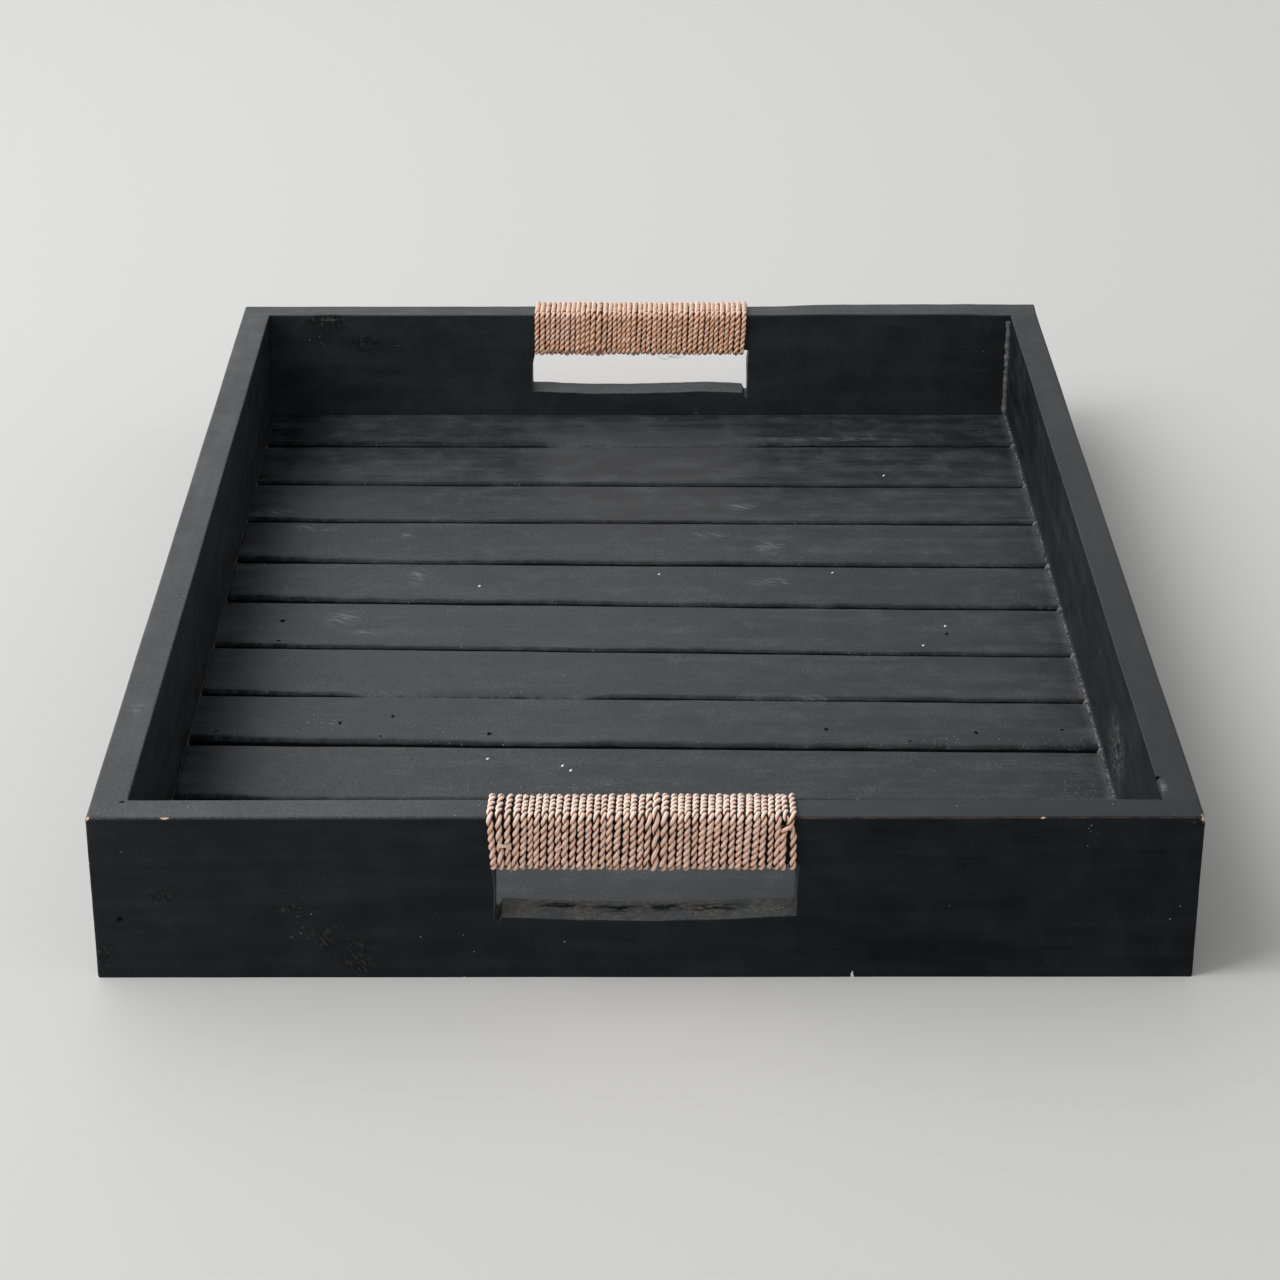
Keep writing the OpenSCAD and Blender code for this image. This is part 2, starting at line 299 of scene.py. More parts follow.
def chalk_paint(name, grain, seed, smear, film):
    """Matt charcoal paint over planed wood. grain is the axis that the wood runs along, smear the
    strength of the brush streaks, and film the strength of the pale dust on it."""
    material, tree, shader, place = new_finish(name)
    shifted = vectors("ADD", place, _1=(seed, seed * 2, 0.0))

    def drawn_out(share):
        """Place for a pattern that is drawn out along the grain."""
        run = [1.0, 1.0, 1.0]
        run[grain] = share
        return vectors("MULTIPLY", shifted, _1=run)

    def turned(angles, stretch):
        """Place for a pattern that is turned and then stretched."""
        slanted = socket(tree, "ShaderNodeMapping", Vector=shifted, Rotation=angles)
        return vectors("MULTIPLY", slanted, _1=stretch)

    along = drawn_out(0.035)
    clouds = patches(shifted, 14.0, 4.0, 0.55)
    mottle = patches(shifted, 75.0, 3.0, 0.6)
    streaks = patches(along, 420.0, 5.0, 0.6)
    brush = patches(drawn_out(0.14), 120.0, 4.0, 0.6)
    pores = patches(along, 1500.0, 2.0, 0.6)
    tone = plus(spread(clouds, 0.3, 0.7, 0.8, 1.15), spread(streaks, 0.3, 0.7, -0.12, 0.12))
    tone = plus(tone, spread(mottle, 0.3, 0.7, -0.14, 0.14))
    tone = plus(tone, spread(brush, 0.42, 0.72, 0.0, smear))
    blue_black, soft_black = (0.0058, 0.0072, 0.0098, 1), (0.0078, 0.0084, 0.0098, 1)
    black = blended(spread(clouds, 0.35, 0.65), blue_black, soft_black)
    colour = vectors("SCALE", black, Scale=tone)

    # Pale dust and wiped smears on the paint, and scuffs.
    dust_grey, scuff_grey = (0.146, 0.152, 0.162, 1), (0.24, 0.235, 0.23, 1)
    wipes = turned((0.0, 0.0, 0.45), (0.3, 1.5, 1.0))
    wiped = times(spread(patches(wipes, 150.0, 4.0, 0.65), 0.6, 0.78), spread(clouds, 0.46, 0.62))
    haze = times(plus(spread(mottle, 0.4, 0.75), spread(brush, 0.4, 0.7)), film)
    # The inside mark adds pale haze; on the slats and the rims part of it is painted light and sheen.
    haze = times_plus(mark_of(tree, "inside"), 0.055, times_plus(wiped, film, haze))
    haze = times(haze, spread(patches(shifted, 1100.0, 2.0, 0.7), 0.3, 0.7, 0.5, 1.5))
    scuffed = times(mark_of(tree, "scuff"), spread(patches(wipes, 420.0, 4.0, 0.75), 0.46, 0.62))
    colour = blended(smaller(haze, 0.8), colour, dust_grey)
    colour = blended(times(scuffed, 0.7), colour, scuff_grey)

    def specks(scale, share, radius):
        """Sparse specks of uneven size: only a share of the cells has one."""
        cells = tree.nodes.new("ShaderNodeTexVoronoi")
        fill(cells, Scale=scale, Vector=shifted)
        luck = socket(tree, "ShaderNodeSeparateColor", Color=cells.outputs["Color"])
        size = spread(luck, less(1.0, share), 1.0, 0.0, radius)
        return spread(less(size, cells.outputs["Distance"]), 0.0, 0.06)

    here = spread(patches(shifted, 26.0, 3.0), 0.5, 0.66)
    crumbs = specks(560.0, times_plus(here, 0.06, 0.011), 0.16)
    crumbs = larger(crumbs, specks(1300.0, times(mark_of(tree, "pitted"), 0.45), 0.28))

    # Torn and crackled paint, crumbs of it, worn arrises and bare chips,
    # and near-black painted shade in gouges, dents, seams and worm holes.
    torn_dark, torn_pale = (0.05, 0.05, 0.048, 1), (0.115, 0.112, 0.106, 1)
    crack_black, crack_pale = (0.003, 0.003, 0.003, 1), (0.048, 0.044, 0.036, 1)
    crumb_white, rubbed_brown = (0.5, 0.47, 0.43, 1), (0.13, 0.075, 0.048, 1)
    raw_brown, raw_pale = (0.5, 0.31, 0.2, 1), (0.78, 0.62, 0.5, 1)
    fleck_white, painted_shade_black = (0.86, 0.85, 0.82, 1), (0.002, 0.002, 0.002, 1)
    rough, bare = mark_of(tree, "rough"), mark_of(tree, "bare")
    torn = patches(shifted, 520.0, 4.0, 0.7)
    torn_wood = blended(spread(torn, 0.4, 0.65), torn_dark, torn_pale)
    colour = blended(times(rough, spread(mottle, 0.35, 0.6)), colour, torn_wood)
    crackle = patches(turned((0.0, 0.6, 0.0), (1.7, 1.0, 0.5)), 700.0, 3.0, 0.7)
    crackled = times(mark_of(tree, "crackle"), spread(mottle, 0.3, 0.5))
    cracks = blended(spread(crackle, 0.5, 0.62), crack_black, crack_pale)
    colour = blended(times(crackled, 0.8), colour, cracks)
    colour = blended(times(crumbs, 0.75), colour, crumb_white)
    ridge_tint = spread(plus(mark_of(tree, "worn"), patches(shifted, 190.0, 4.0, 0.7)), 1.36, 1.56)
    colour = blended(times(ridge_tint, 0.6), colour, rubbed_brown)
    colour = blended(bare, colour, blended(patches(along, 900.0, 3.0), raw_brown, raw_pale))
    # Painted shade in the gouges of the sawn edge, which are not cut into the shape.
    gouges = patches(vectors("MULTIPLY", shifted, _1=(0.28, 0.9, 1.0)), 520.0, 3.0, 0.7)
    gouge_shade = times(times(rough, spread(gouges, 0.44, 0.54)), mark_of(tree, "gouge"))
    # The dark mark and the gouges are painted near black with little shine, as painted shade.
    dark = larger(mark_of(tree, "dark"), gouge_shade)
    colour = blended(spread(mark_of(tree, "fleck"), 0.45, 0.7), colour, fleck_white)
    gloss = times(times(times_plus(dark, -0.9, 1.0), times_plus(mark_of(tree, "matt"), -1.0, 1.0)), 0.5)

    dull = plus(spread(brush, 0.3, 0.7, 0.44, 0.54), spread(mottle, 0.3, 0.7, -0.05, 0.06))
    for roughened, more in ((bare, 0.3), (rough, 0.3), (dark, 0.5)):
        dull = times_plus(roughened, more, dull)
    height = times(streaks, 0.4)
    for raised, depth in (
        (brush, 0.45), (pores, 0.2), (mottle, 0.8), (patches(shifted, 900.0, 3.0), 0.25),
        (times(torn, rough), 3.0), (times(crackle, crackled), 3.5), (crumbs, 0.8),
    ):
        height = times_plus(raised, depth, height)
    fill(
        shader, Base_Color=blended(dark, colour, painted_shade_black), Roughness=dull, Specular_IOR_Level=gloss,
        IOR=1.4, Specular_Tint=(0.87, 0.94, 1.0, 1),
    )
    relief(shader, strength=0.35, distance=0.25 * MM, height=height)
    return material


paint_across = chalk_paint("charcoal_paint_across", grain=X, seed=0.37, smear=0.25, film=0.02)
hole_bottom = 24.0 * MM
hole_half = 50.2 * MM
overcut = 2.2 * MM
overcut_depth = 2.3 * MM
joint_keep = 12 * MM


def sawn_edge(x, shape):
    """Height of the sawn lower edge at x, smoothed through the heights that shape gives along it."""
    share = np.clip(np.asarray(x) / hole_half, -1, 1)
    nudges = (-0.08, 0.0, 0.08)
    return sum(np.interp(share + nudge, *zip(*shape)) for nudge in nudges) / len(nudges) * MM


def end_board(
    node, outer_way, edge_shape, overcut_side, chips, crackle_spots, pitted_spots, gouged_spots, cut_rough,
    cut_dust, ridge_tint, matt, cupped, rim_dust_and_sheen, left_lean, seed,
):
    """One end board. outer_way is the way from its outer face to the wood along Y."""
    low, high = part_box(node)
    wrap_low, wrap_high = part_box(node.replace("end_board", "handle_wrap"))
    outer, inner = (low.y, high.y) if outer_way > 0 else (high.y, low.y)
    cord_room = max(low.y - wrap_low.y, wrap_high.y - high.y)
    bar_bottom = wrap_low.z + cord_room
    inner_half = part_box("right_side_board")[0].x
    marks = [chip[0][X] * MM for chip in chips]
    high_marks = [chip[0][Z] * MM for chip in chips]
    skip = len(ease_steps) + 1
    xs = stations(low.x, -hole_half, marks, ease_radius)[:-skip]
    xs += [-hole_half - beside_edge, -hole_half, -hole_half + overcut / 2]
    xs += stations(-hole_half + overcut, hole_half - overcut, marks)
    xs += [hole_half - overcut / 2, hole_half, hole_half + beside_edge]
    xs += stations(hole_half, high.x, marks, ease_radius)[skip:]
    zs = stations(low.z, hole_bottom, high_marks, ease_radius)[:-skip]
    zs += [hole_bottom - beside_edge, hole_bottom, hole_bottom + 0.5 * MM]
    zs += stations(hole_bottom + 1.6 * MM, bar_bottom, high_marks)
    zs += stations(bar_bottom, high.z, high_marks, ease_radius)[1:]
    ys = stations(min(outer, inner), max(outer, inner), (), ease_radius)

    def in_hole(x, z):
        """Whether a place on the board's face lies in the hand hole."""
        return abs(x) < hole_half and hole_bottom < z < bar_bottom

    points, faces = block_mesh(xs, ys, zs, in_hole)
    corners = points.copy()
    x, y, z = corners.T
    across = np.abs(x)
    radius = worn_radius(points, seed)
    front, back = (Y, outer, outer_way), (Y, inner, -outer_way)
    top, under, bar_edge = (Z, high.z, -1), (Z, low.z, 1), (Z, bar_bottom, 1)
    left, right = (X, low.x, 1), (X, high.x, -1)
    between = across < inner_half
    in_bar = (across < hole_half) & (z > hole_bottom + MM)
    for first, second, size, where in (
        (under, left, foot_radius, True), (under, right, foot_radius, True), (front, top, radius, True),
        (front, under, radius, True), (front, left, radius, True), (front, right, radius, True),
        (top, left, radius, True), (top, right, radius, True), (back, top, radius * 0.5, between),
        (back, under, radius, between), (front, bar_edge, ease_radius, in_bar),
        (back, bar_edge, ease_radius, in_bar),
    ):
        ease_arris(points, first, second, size, where)

    drop = sawn_edge(points[:, X], edge_shape) - hole_bottom
    drop += 0.2 * MM * wander(corners, 6 * MM, seed + 4) + 0.12 * MM * wander(corners, 1.8 * MM, seed + 5)
    in_overcut = np.clip(1 - (hole_half - x * overcut_side) / overcut, 0, 1)
    drop -= overcut_depth * np.where(across <= hole_half + 1e-6, np.minimum(in_overcut * 2, 1), 0)
    above = z - hole_bottom
    fade = np.where(above > 0, np.clip(1 - above / (3 * MM), 0, 1), np.clip(1 + above / (16 * MM), 0, 1))
    points[:, Z] += drop * fade * np.clip(1 - (across - hole_half) / (12 * MM), 0, 1)
    level = (z >= hole_bottom) & (z <= bar_bottom)
    near_side = np.clip(1 - np.abs(across - hole_half) / (6 * MM), 0, 1) * level
    lean = 0.3 * MM * wander(corners, 11 * MM, seed + 6)
    at_top = ramp(z, bar_bottom - 9 * MM, bar_bottom)
    lean += 0.6 * MM * np.where(x > 0, 1, left_lean) * at_top
    points[:, X] += lean * near_side
    at_outer = (inner - y) / (inner - outer)
    cup = 1.0 * at_outer + 0.45 * ramp(x, 168 * MM, 150 * MM) * (1 - at_outer)
    points[:, Z] += cupped * cup * ramp(x, 60 * MM, 90 * MM) * ramp(z, bar_bottom, high.z)
    near_rim = ramp(z, high.z - 1 * MM, high.z)
    hand_finish(points, seed + 8, near_rim * ramp(across, inner_half - joint_keep, inner_half))
    left = knock_chips(points, chips, seed + 20)
    in_cut = (across <= hole_half + 1e-6) & level & (z < bar_bottom - MM)
    behind_front = (y - outer) * outer_way
    arris = ramp(z, high.z - 1.2 * MM, high.z) * ramp(behind_front, 1.2 * MM, 0)
    arris *= 0.45 + ridge_tint * ramp(x, low.x * 0.7, high.x * 0.4)
    on_inner = ramp((y - inner) * -outer_way, 1.5 * MM, 0)
    # Pale haze on the rim, set at its left and right ends: dust, and on the front board also painted sheen,
    # heavier on the left where the light comes from.
    dust_and_sheen_on_rim = near_rim * np.interp(x, (-0.12, 0.12), rim_dust_and_sheen)
    piece = finished_piece(node + "_painted", points, faces, paint_across, {
        "worn": arris, "bare": left["bare"], "dark": left["dark"], "fleck": left["fleck"],
        "matt": matt * ramp(behind_front, 1.0 * MM, 0) * (1 + 0.4 * ramp(x, -0.05, 0.12)),
        "inside": np.maximum(on_inner, dust_and_sheen_on_rim) + in_cut * cut_dust,
        "rough": in_cut * cut_rough,
        "pitted": spot_shares(corners, pitted_spots),
        "gouge": ramp(spot_shares(corners, gouged_spots), 0, 0.5),
        "crackle": ramp(spot_shares(corners, crackle_spots), 0, 0.6),
    })
    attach(piece, "root")
    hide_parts(node)


front_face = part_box("front_end_board")[0].y / MM
rear_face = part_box("rear_end_board")[1].y / MM
side_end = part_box("front_end_board")[1].x / MM
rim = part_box("front_end_board")[1].z / MM
end_board(
    "front_end_board", outer_way=1, overcut_side=-1,
    edge_shape=[(-1, 24.6), (-0.5, 23.3), (0, 22.9), (0.5, 23.6), (1, 25.0)],
    chips=[
        ((-side_end + 0.5, front_face + 0.4, rim - 0.3), (0.8, 0.7, 0.7), (0.3, 0.3, -0.25), "bare"),
        ((-158.5, front_face + 0.15, rim - 0.15), (1.5, 0.4, 0.42), (0, 0.2, -0.2), "bare"),
        ((130.9, front_face + 0.15, rim - 0.15), (0.9, 0.4, 0.4), (0, 0.15, -0.15), "bare"),
        ((side_end - 0.4, front_face + 1.2, rim - 0.5), (1.0, 2.2, 1.3), (-0.5, 0, -0.3), "bare"),
        ((side_end - 0.7, front_face, rim - 2.6), (1.3, 0.7, 1.6), (-0.3, 0.4, 0), "painted"),
        # Chips marked dark are dents that take painted shade.
        ((-175.7, front_face, 23.4), (1.3, 1.2, 0.8), (0, 0.9, 0), "dark"),
        ((-173.9, front_face, 48.9), (1.6, 1.2, 1.6), (0, 0.35, 0), "painted"),
        ((174.1, front_face, 23.9), (1.7, 1.2, 1.4), (0, 0.4, 0), "painted"),
        ((171.6, front_face, 48.8), (1.5, 1.2, 1.5), (0, 0.35, 0), "painted"),
        ((69.6, front_face, 0.9), (0.5, 0.9, 2.3), (0.3, 0.5, 0.9), "fleck"),
        ((-173.8, front_face + 11.2, rim), (0.9, 0.7, 0.7), (0, 0, -0.3), "dark"),
    ],
    crackle_spots=[
        ((-105, front_face, 16), (9, 8, 8)), ((-96, front_face, 9), (10, 8, 9)),
        ((-162.1, front_face, 32.3), (6, 8, 3)), ((-182, front_face, 9), (3, 8, 7)),
        ((-121, front_face, 28), (7, 8, 2.5)),
    ],
    pitted_spots=[
        ((146.5, front_face, 54.5), (5.5, 4, 7.5)), ((-114, front_face, 22), (8, 3, 9)),
        ((-16, front_face + 7, 22.5), (7, 7, 4)), ((14, front_face + 7, 22.5), (10, 7, 4)),
        ((42, front_face + 6, 24), (11, 8, 4)), ((side_end - 2, front_face, rim - 3), (3.5, 4, 3)),
        ((176, front_face, 24), (6, 4, 4)), ((-152, front_face + 6, rim), (7, 4, 2)),
        ((-55, front_face + 8, rim), (6, 5, 2)),
    ],
    gouged_spots=[
        ((-28, front_face + 9.2, 22.8), (12, 2.2, 4)), ((-9, front_face + 8, 22.8), (12, 3, 4)),
        ((8, front_face + 8.6, 22.8), (12, 2.8, 4)), ((23, front_face + 8, 23.2), (13, 3, 4)),
    ],
    cut_rough=0.9, cut_dust=3.6, ridge_tint=0.6, matt=0.56, cupped=0, rim_dust_and_sheen=(4.3, 0.6), left_lean=-1,
    seed=11,
)
rear_inner = rear_face - 12.6
end_board(
    "rear_end_board", outer_way=-1, overcut_side=1,
    edge_shape=[(-1, 24.4), (-0.4, 23.2), (0, 23.2), (0.6, 24.3), (0.9, 23.8), (1, 23.2)],
    chips=[
        ((120, rear_face, rim), (2.0, 0.8, 0.8), (0, -0.3, -0.3), "bare"),
        ((-145, rear_inner, rim - 1.2), (6.0, 0.8, 1.6), (0, 0.4, -0.3), "painted"),
    ],
    crackle_spots=[((-145, rear_inner, rim - 3), (14, 6, 6)), ((-128, rear_inner, 48), (10, 6, 5))],
    pitted_spots=[((-150, rear_inner, 49), (5, 4, 4))], gouged_spots=[], cut_rough=0.3, cut_dust=5.5,
    ridge_tint=0.1, matt=0.2, cupped=1.1 * MM, rim_dust_and_sheen=(3.0, 4.0), left_lean=2.2, seed=31,
)

# The side boards are the same stock, butted between the end boards and nailed through them.
# Their tops are flush with the end boards' tops, and paint fills the joints in the rim.
paint_along = chalk_paint("charcoal_paint_along", grain=Y, seed=0.81, smear=0.5, film=0.04)


def side_board(node, outer_way, chips, pitted_spots, scuff_spots, dust, matt, rim_dust_and_sheen, seed):
    """One side board. outer_way is the way from its outer face to the wood along X."""
    low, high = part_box(node)
    slat_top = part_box("floor_slat_01")[1].z
    outer, inner = (low.x, high.x) if outer_way > 0 else (high.x, low.x)
    xs = stations(low.x, high.x, (), ease_radius)
    ys = stations(low.y, high.y, [chip[0][Y] * MM for chip in chips])
    zs = stations(low.z, high.z, [chip[0][Z] * MM for chip in chips], ease_radius)
    points, faces = block_mesh(xs, ys, zs)
    corners = points.copy()
    x, y, z = corners.T
    radius = worn_radius(points, seed) * (1 - 0.9 * ramp(np.abs(y), high.y - 2 * MM, high.y))
    radius = np.maximum(radius, 0.05 * MM)
    for face in ((Z, high.z, -1), (Z, low.z, 1)):
        ease_arris(points, (X, outer, outer_way), face, ease_radius)
        ease_arris(points, (X, inner, -outer_way), face, radius * 0.5)
    hand_finish(points, seed + 3, ramp(np.abs(y), high.y - joint_keep, high.y))
    points[:, Y] = y
    left = knock_chips(points, chips, seed + 20)
    on_inner = ramp((x - inner) * -outer_way, 1.5 * MM, 0)
    foot_dust = 6 * ramp(z, slat_top + 3 * MM, slat_top) * (outer_way < 0)
    # Pale haze on the rim: dust, and also painted sheen, heavier on the left board, on the side the light
    # comes from.
    piece = finished_piece(node + "_painted", points, faces, paint_along, {
        "bare": left["bare"], "dark": left["dark"], "matt": matt * on_inner,
        "inside": np.maximum(on_inner * (dust + foot_dust), ramp(z, high.z - 1 * MM, high.z) * rim_dust_and_sheen),
        "pitted": spot_shares(corners, pitted_spots), "scuff": spot_shares(corners, scuff_spots),
    })
    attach(piece, "root")
    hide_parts(node)


wall_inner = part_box("right_side_board")[0].x / MM
side_board(
    "left_side_board", outer_way=1, chips=[], pitted_spots=[], scuff_spots=[((-178, -170, rim), (4, 9, 2))],
    dust=0.8, matt=0.1, rim_dust_and_sheen=3.0, seed=52,
)
side_board(
    "right_side_board", outer_way=-1,
    chips=[
        # The chip marked dark is a dent that takes painted shade.
        ((wall_inner + 0.2, -221.5, rim - 0.4), (1.3, 1.0, 1.8), (0.8, 0, -0.5), "dark"),
        ((wall_inner + 0.2, -227, rim - 0.2), (1.3, 6.5, 1.1), (0.35, 0, -0.35), "painted"),
    ],
    pitted_spots=[
        ((wall_inner, -160, 15), (4, 22, 4)), ((wall_inner, -215, 15), (4, 16, 5)),
        ((wall_inner, -120, 45), (4, 12, 9)),
    ],
    scuff_spots=[((wall_inner + 1, -229, rim), (1.2, 6, 1.5)), ((wall_inner, -140, 30), (0.7, 26, 16))],
    dust=0.0, matt=0.35, rim_dust_and_sheen=0.8, seed=71,
)

# The floor is eleven slats laid across the tray, nailed at both ends. Each slat's front edge
# was rounded with a sanding block, its back edge left crisp, and paint has closed two of the
# seams in part. The slats differ a little in height and lie slightly askew.
paint_slats = chalk_paint("charcoal_paint_slats", grain=X, seed=0.11, smear=0.08, film=0.14)


def new_shape_tree(name, numbers, others):
    """Geometry Nodes tree with a geometry in and out, and inputs for the numbers and others by kind."""
    tree = bpy.data.node_groups.new(name, "GeometryNodeTree")
    tree.interface.new_socket(name="Geometry", in_out="OUTPUT", socket_type="NodeSocketGeometry")
    kinds = {"Geometry": "Geometry", **dict.fromkeys(numbers, "Float"), **others}
    for label, kind in kinds.items():
        tree.interface.new_socket(name=label, in_out="INPUT", socket_type="NodeSocket" + kind)
    entry = tree.nodes.new("NodeGroupInput")
    return tree, {item.name: item for item in entry.outputs}


def end_shape_tree(tree, geometry, material):
    """Ends a tree in real geometry that wears the material."""
    real = socket(tree, "GeometryNodeRealizeInstances", Geometry=geometry)
    dressed = socket(tree, "GeometryNodeSetMaterial", Geometry=real, Material=material)
    out = tree.nodes.new("NodeGroupOutput")
    tree.links.new(dressed, out.inputs["Geometry"])


def stored_mark(geometry, name, value, kind="FLOAT"):
    """Keeps a value on every point of a shape under the mark's name."""
    return socket(
        geometry.id_data, "GeometryNodeStoreNamedAttribute", data_type=kind, domain="POINT",
        Geometry=geometry, Name=name, Value=value,
    )


def shape_from_tree(name, tree, values, start=None):
    """Plain mesh object that the tree makes of the start mesh with the given input values."""
    holder = put_in_scene(name + "_source", start or bpy.data.meshes.new(name + "_start"))
    modifier = holder.modifiers.new("shape", "NODES")
    modifier.node_group = tree
    sockets = {item.name: item.identifier for item in tree.interface.items_tree if item.in_out == "INPUT"}
    for label, value in values.items():
        modifier[sockets[label]] = value
    graph = bpy.context.evaluated_depsgraph_get()
    mesh = bpy.data.meshes.new_from_object(holder.evaluated_get(graph), depsgraph=graph)
    mesh.name = name
    while mesh.materials[0] is None:
        mesh.materials.pop(index=0)
    holder.modifiers.remove(modifier)
    bpy.data.objects.remove(holder)
    mesh.shade_smooth()
    return put_in_scene(name, mesh)


def slat_tree():
    """Tree that makes one worn slat between two straight, skewed edges."""
    tree, given = new_shape_tree("worn_slat", [
        "Length", "Front left", "Front right", "Back left", "Back right", "Underside", "Thickness",
        "Front radius", "Back radius", "Filled from", "Filled to", "Seam", "Seed",
    ], {"Paint": "Material"})
    counts = {"Vertices_X": 331, "Vertices_Y": 35, "Vertices_Z": 13}
    cube = socket(tree, "GeometryNodeMeshCube", Size=(1.0, 1.0, 1.0), **counts)
    here = socket(tree, "GeometryNodeInputPosition")
    along, across, upward = (socket(tree, "ShaderNodeSeparateXYZ", i, _0=here) for i in range(3))
    near_to_far, low_to_high = (
        times_plus(sums("SINE", times(part, math.pi)), 0.5, 0.5) for part in (across, upward)
    )
    x = times(along, given["Length"])

    def wave(size, offset, depth):
        """Waves along the slat, about size long, from minus depth to depth."""
        place = socket(tree, "ShaderNodeCombineXYZ", X=x, Y=times(given["Seed"], 3.7), Z=float(offset))
        return times(less(patches(place, 1 / size, 1.0), 0.5), depth * 2)

    def edge(left, right, offset, fine):
        """One long edge: straight from left to right, a little bowed, and finely uneven."""
        ends = {"_0": plus(along, 0.5), "_2": given[left], "_3": given[right]}
        straight = socket(tree, "ShaderNodeMix", data_type="FLOAT", **ends)
        bowed = plus(straight, wave(90 * MM, offset, 0.4 * MM))
        return plus(bowed, wave(9 * MM, offset + 5, fine))

    fade = 16 * MM
    after = spread(less(x, given["Filled from"]), 0.0, fade)
    before = spread(less(given["Filled to"], x), 0.0, fade)
    filled = times(after, before)
    opened = less(1.0, filled)
    front = edge("Front left", "Front right", 1, 0.2 * MM)
    front = less(front, times(filled, given["Seam"]))
    back = edge("Back left", "Back right", 2, 0.05 * MM)
    y = times_plus(less(back, front), near_to_far, front)
    rise = times(given["Thickness"], low_to_high)
    from_top = less(given["Thickness"], rise)

    def rounded(into, radius, drop):
        """How far in and down the wood is rounded off at a place that lies into the slat from its edge."""
        deep = times(radius, drop)
        short_y = divided(larger(less(radius, into), 0.0), radius)
        short_z = divided(larger(less(deep, from_top), 0.0), deep)
        reach = larger(sums("SQRT", plus(times(short_y, short_y), times(short_z, short_z))), 1.0)
        pull = less(1.0, divided(1.0, reach))
        return times(times(short_y, pull), radius), times(times(short_z, pull), deep)

    uneven = plus(1.0, plus(wave(45 * MM, 11, 0.5), wave(7 * MM, 12, 0.3)))
    left_wear = spread(along, -0.5, -0.36, 0.75, 0.0)
    front_radius = times(given["Front radius"], plus(uneven, left_wear))
    front_radius = larger(times(front_radius, opened), 0.25 * MM)
    into = less(y, front)
    in_y, in_z = rounded(into, front_radius, 0.8)
    out_y, out_z = rounded(less(back, y), given["Back radius"], 1.0)
    new_y = less(plus(y, in_y), out_y)
    new_z = less(less(plus(given["Underside"], rise), in_z), out_z)
    hollow = times(filled, spread(into, 0.0, 6 * MM, -0.45 * MM, 0.0))
    flat = socket(tree, "ShaderNodeCombineXYZ", X=x, Y=new_y, Z=times(given["Seed"], 0.9))
    hump = times(less(patches(flat, 26.0, 2.0), 0.5), 0.7 * MM)
    edge_rough = times(spread(into, 5 * MM, 1 * MM), wave(2.2 * MM, 31, 0.3 * MM))
    lowered = plus(plus(hump, hollow), edge_rough)
    new_z = plus(new_z, times(lowered, low_to_high))
    place = socket(tree, "ShaderNodeCombineXYZ", X=x, Y=new_y, Z=new_z)

    def past_edge(near, far, *ends):
        """Value that runs between two distances from the front edge, in its radius."""
        return spread(into, times(front_radius, near), times(front_radius, far), *ends)

    band = less(1.0, past_edge(0.9, 1.7))
    clumps = spread(wave(24 * MM, 41, 1.0), -0.1, 0.35)
    marked = stored_mark(cube, "pitted", times(times(band, clumps), 0.8))
    at_wall = spread(less(along, 0.5), -0.012, -0.0005)
    # The pale dust is laid on thicker towards the left end, as painted sheen of the light from the left,
    # and cut to about an eighth right beside the left side board, as that board's painted shadow.
    dust = times(spread(along, -0.5, 0.5, 2.7, 1.3), spread(along, -0.49, -0.37, 0.12, 1.0))
    dust = times_plus(at_wall, 5.0, dust)
    flats = less(1.0, times(band, opened))
    marked = stored_mark(marked, "inside", times(dust, flats))
    marked = stored_mark(marked, "matt", spread(along, -0.5, -0.41, 0.75, 0.2))
    # Painted shade: the sunk edge and the lip of each rounded front edge are marked dark, more at the left
    # end, for the shade in the seams.
    top = plus(given["Underside"], given["Thickness"])
    sunk = spread(less(top, new_z), 0.26 * MM, 0.75 * MM)
    sunk = times(sunk, spread(rise, 0.3 * MM, 3 * MM))
    lip = past_edge(0.75, 1.3, 1.0, 0.0)
    lip_shade = times(lip, spread(wave(3 * MM, 43, 1.0), -0.3, 0.3, 0.3, 0.65))
    lip_shade = times(lip_shade, spread(along, -0.48, -0.33, 1.2, 0.5))
    seam_shade = larger(sunk, times(lip_shade, opened))
    marked = stored_mark(marked, "dark", times(seam_shade, 0.95))
    moved = socket(tree, "GeometryNodeSetPosition", Geometry=marked, Position=place)
    end_shape_tree(tree, moved, given["Paint"])
    return tree


def slat_corners(node):
    """Left and right ends of a slat's front and back edges, read from its solid."""
    places = np.array([v.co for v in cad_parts[node].data.vertices])
    corners = []
    for end in (places[:, X].min(), places[:, X].max()):
        ys = places[np.abs(places[:, X] - end) < 0.01 * MM][:, Y]
        corners.append((ys.min(), ys.max()))
    return corners


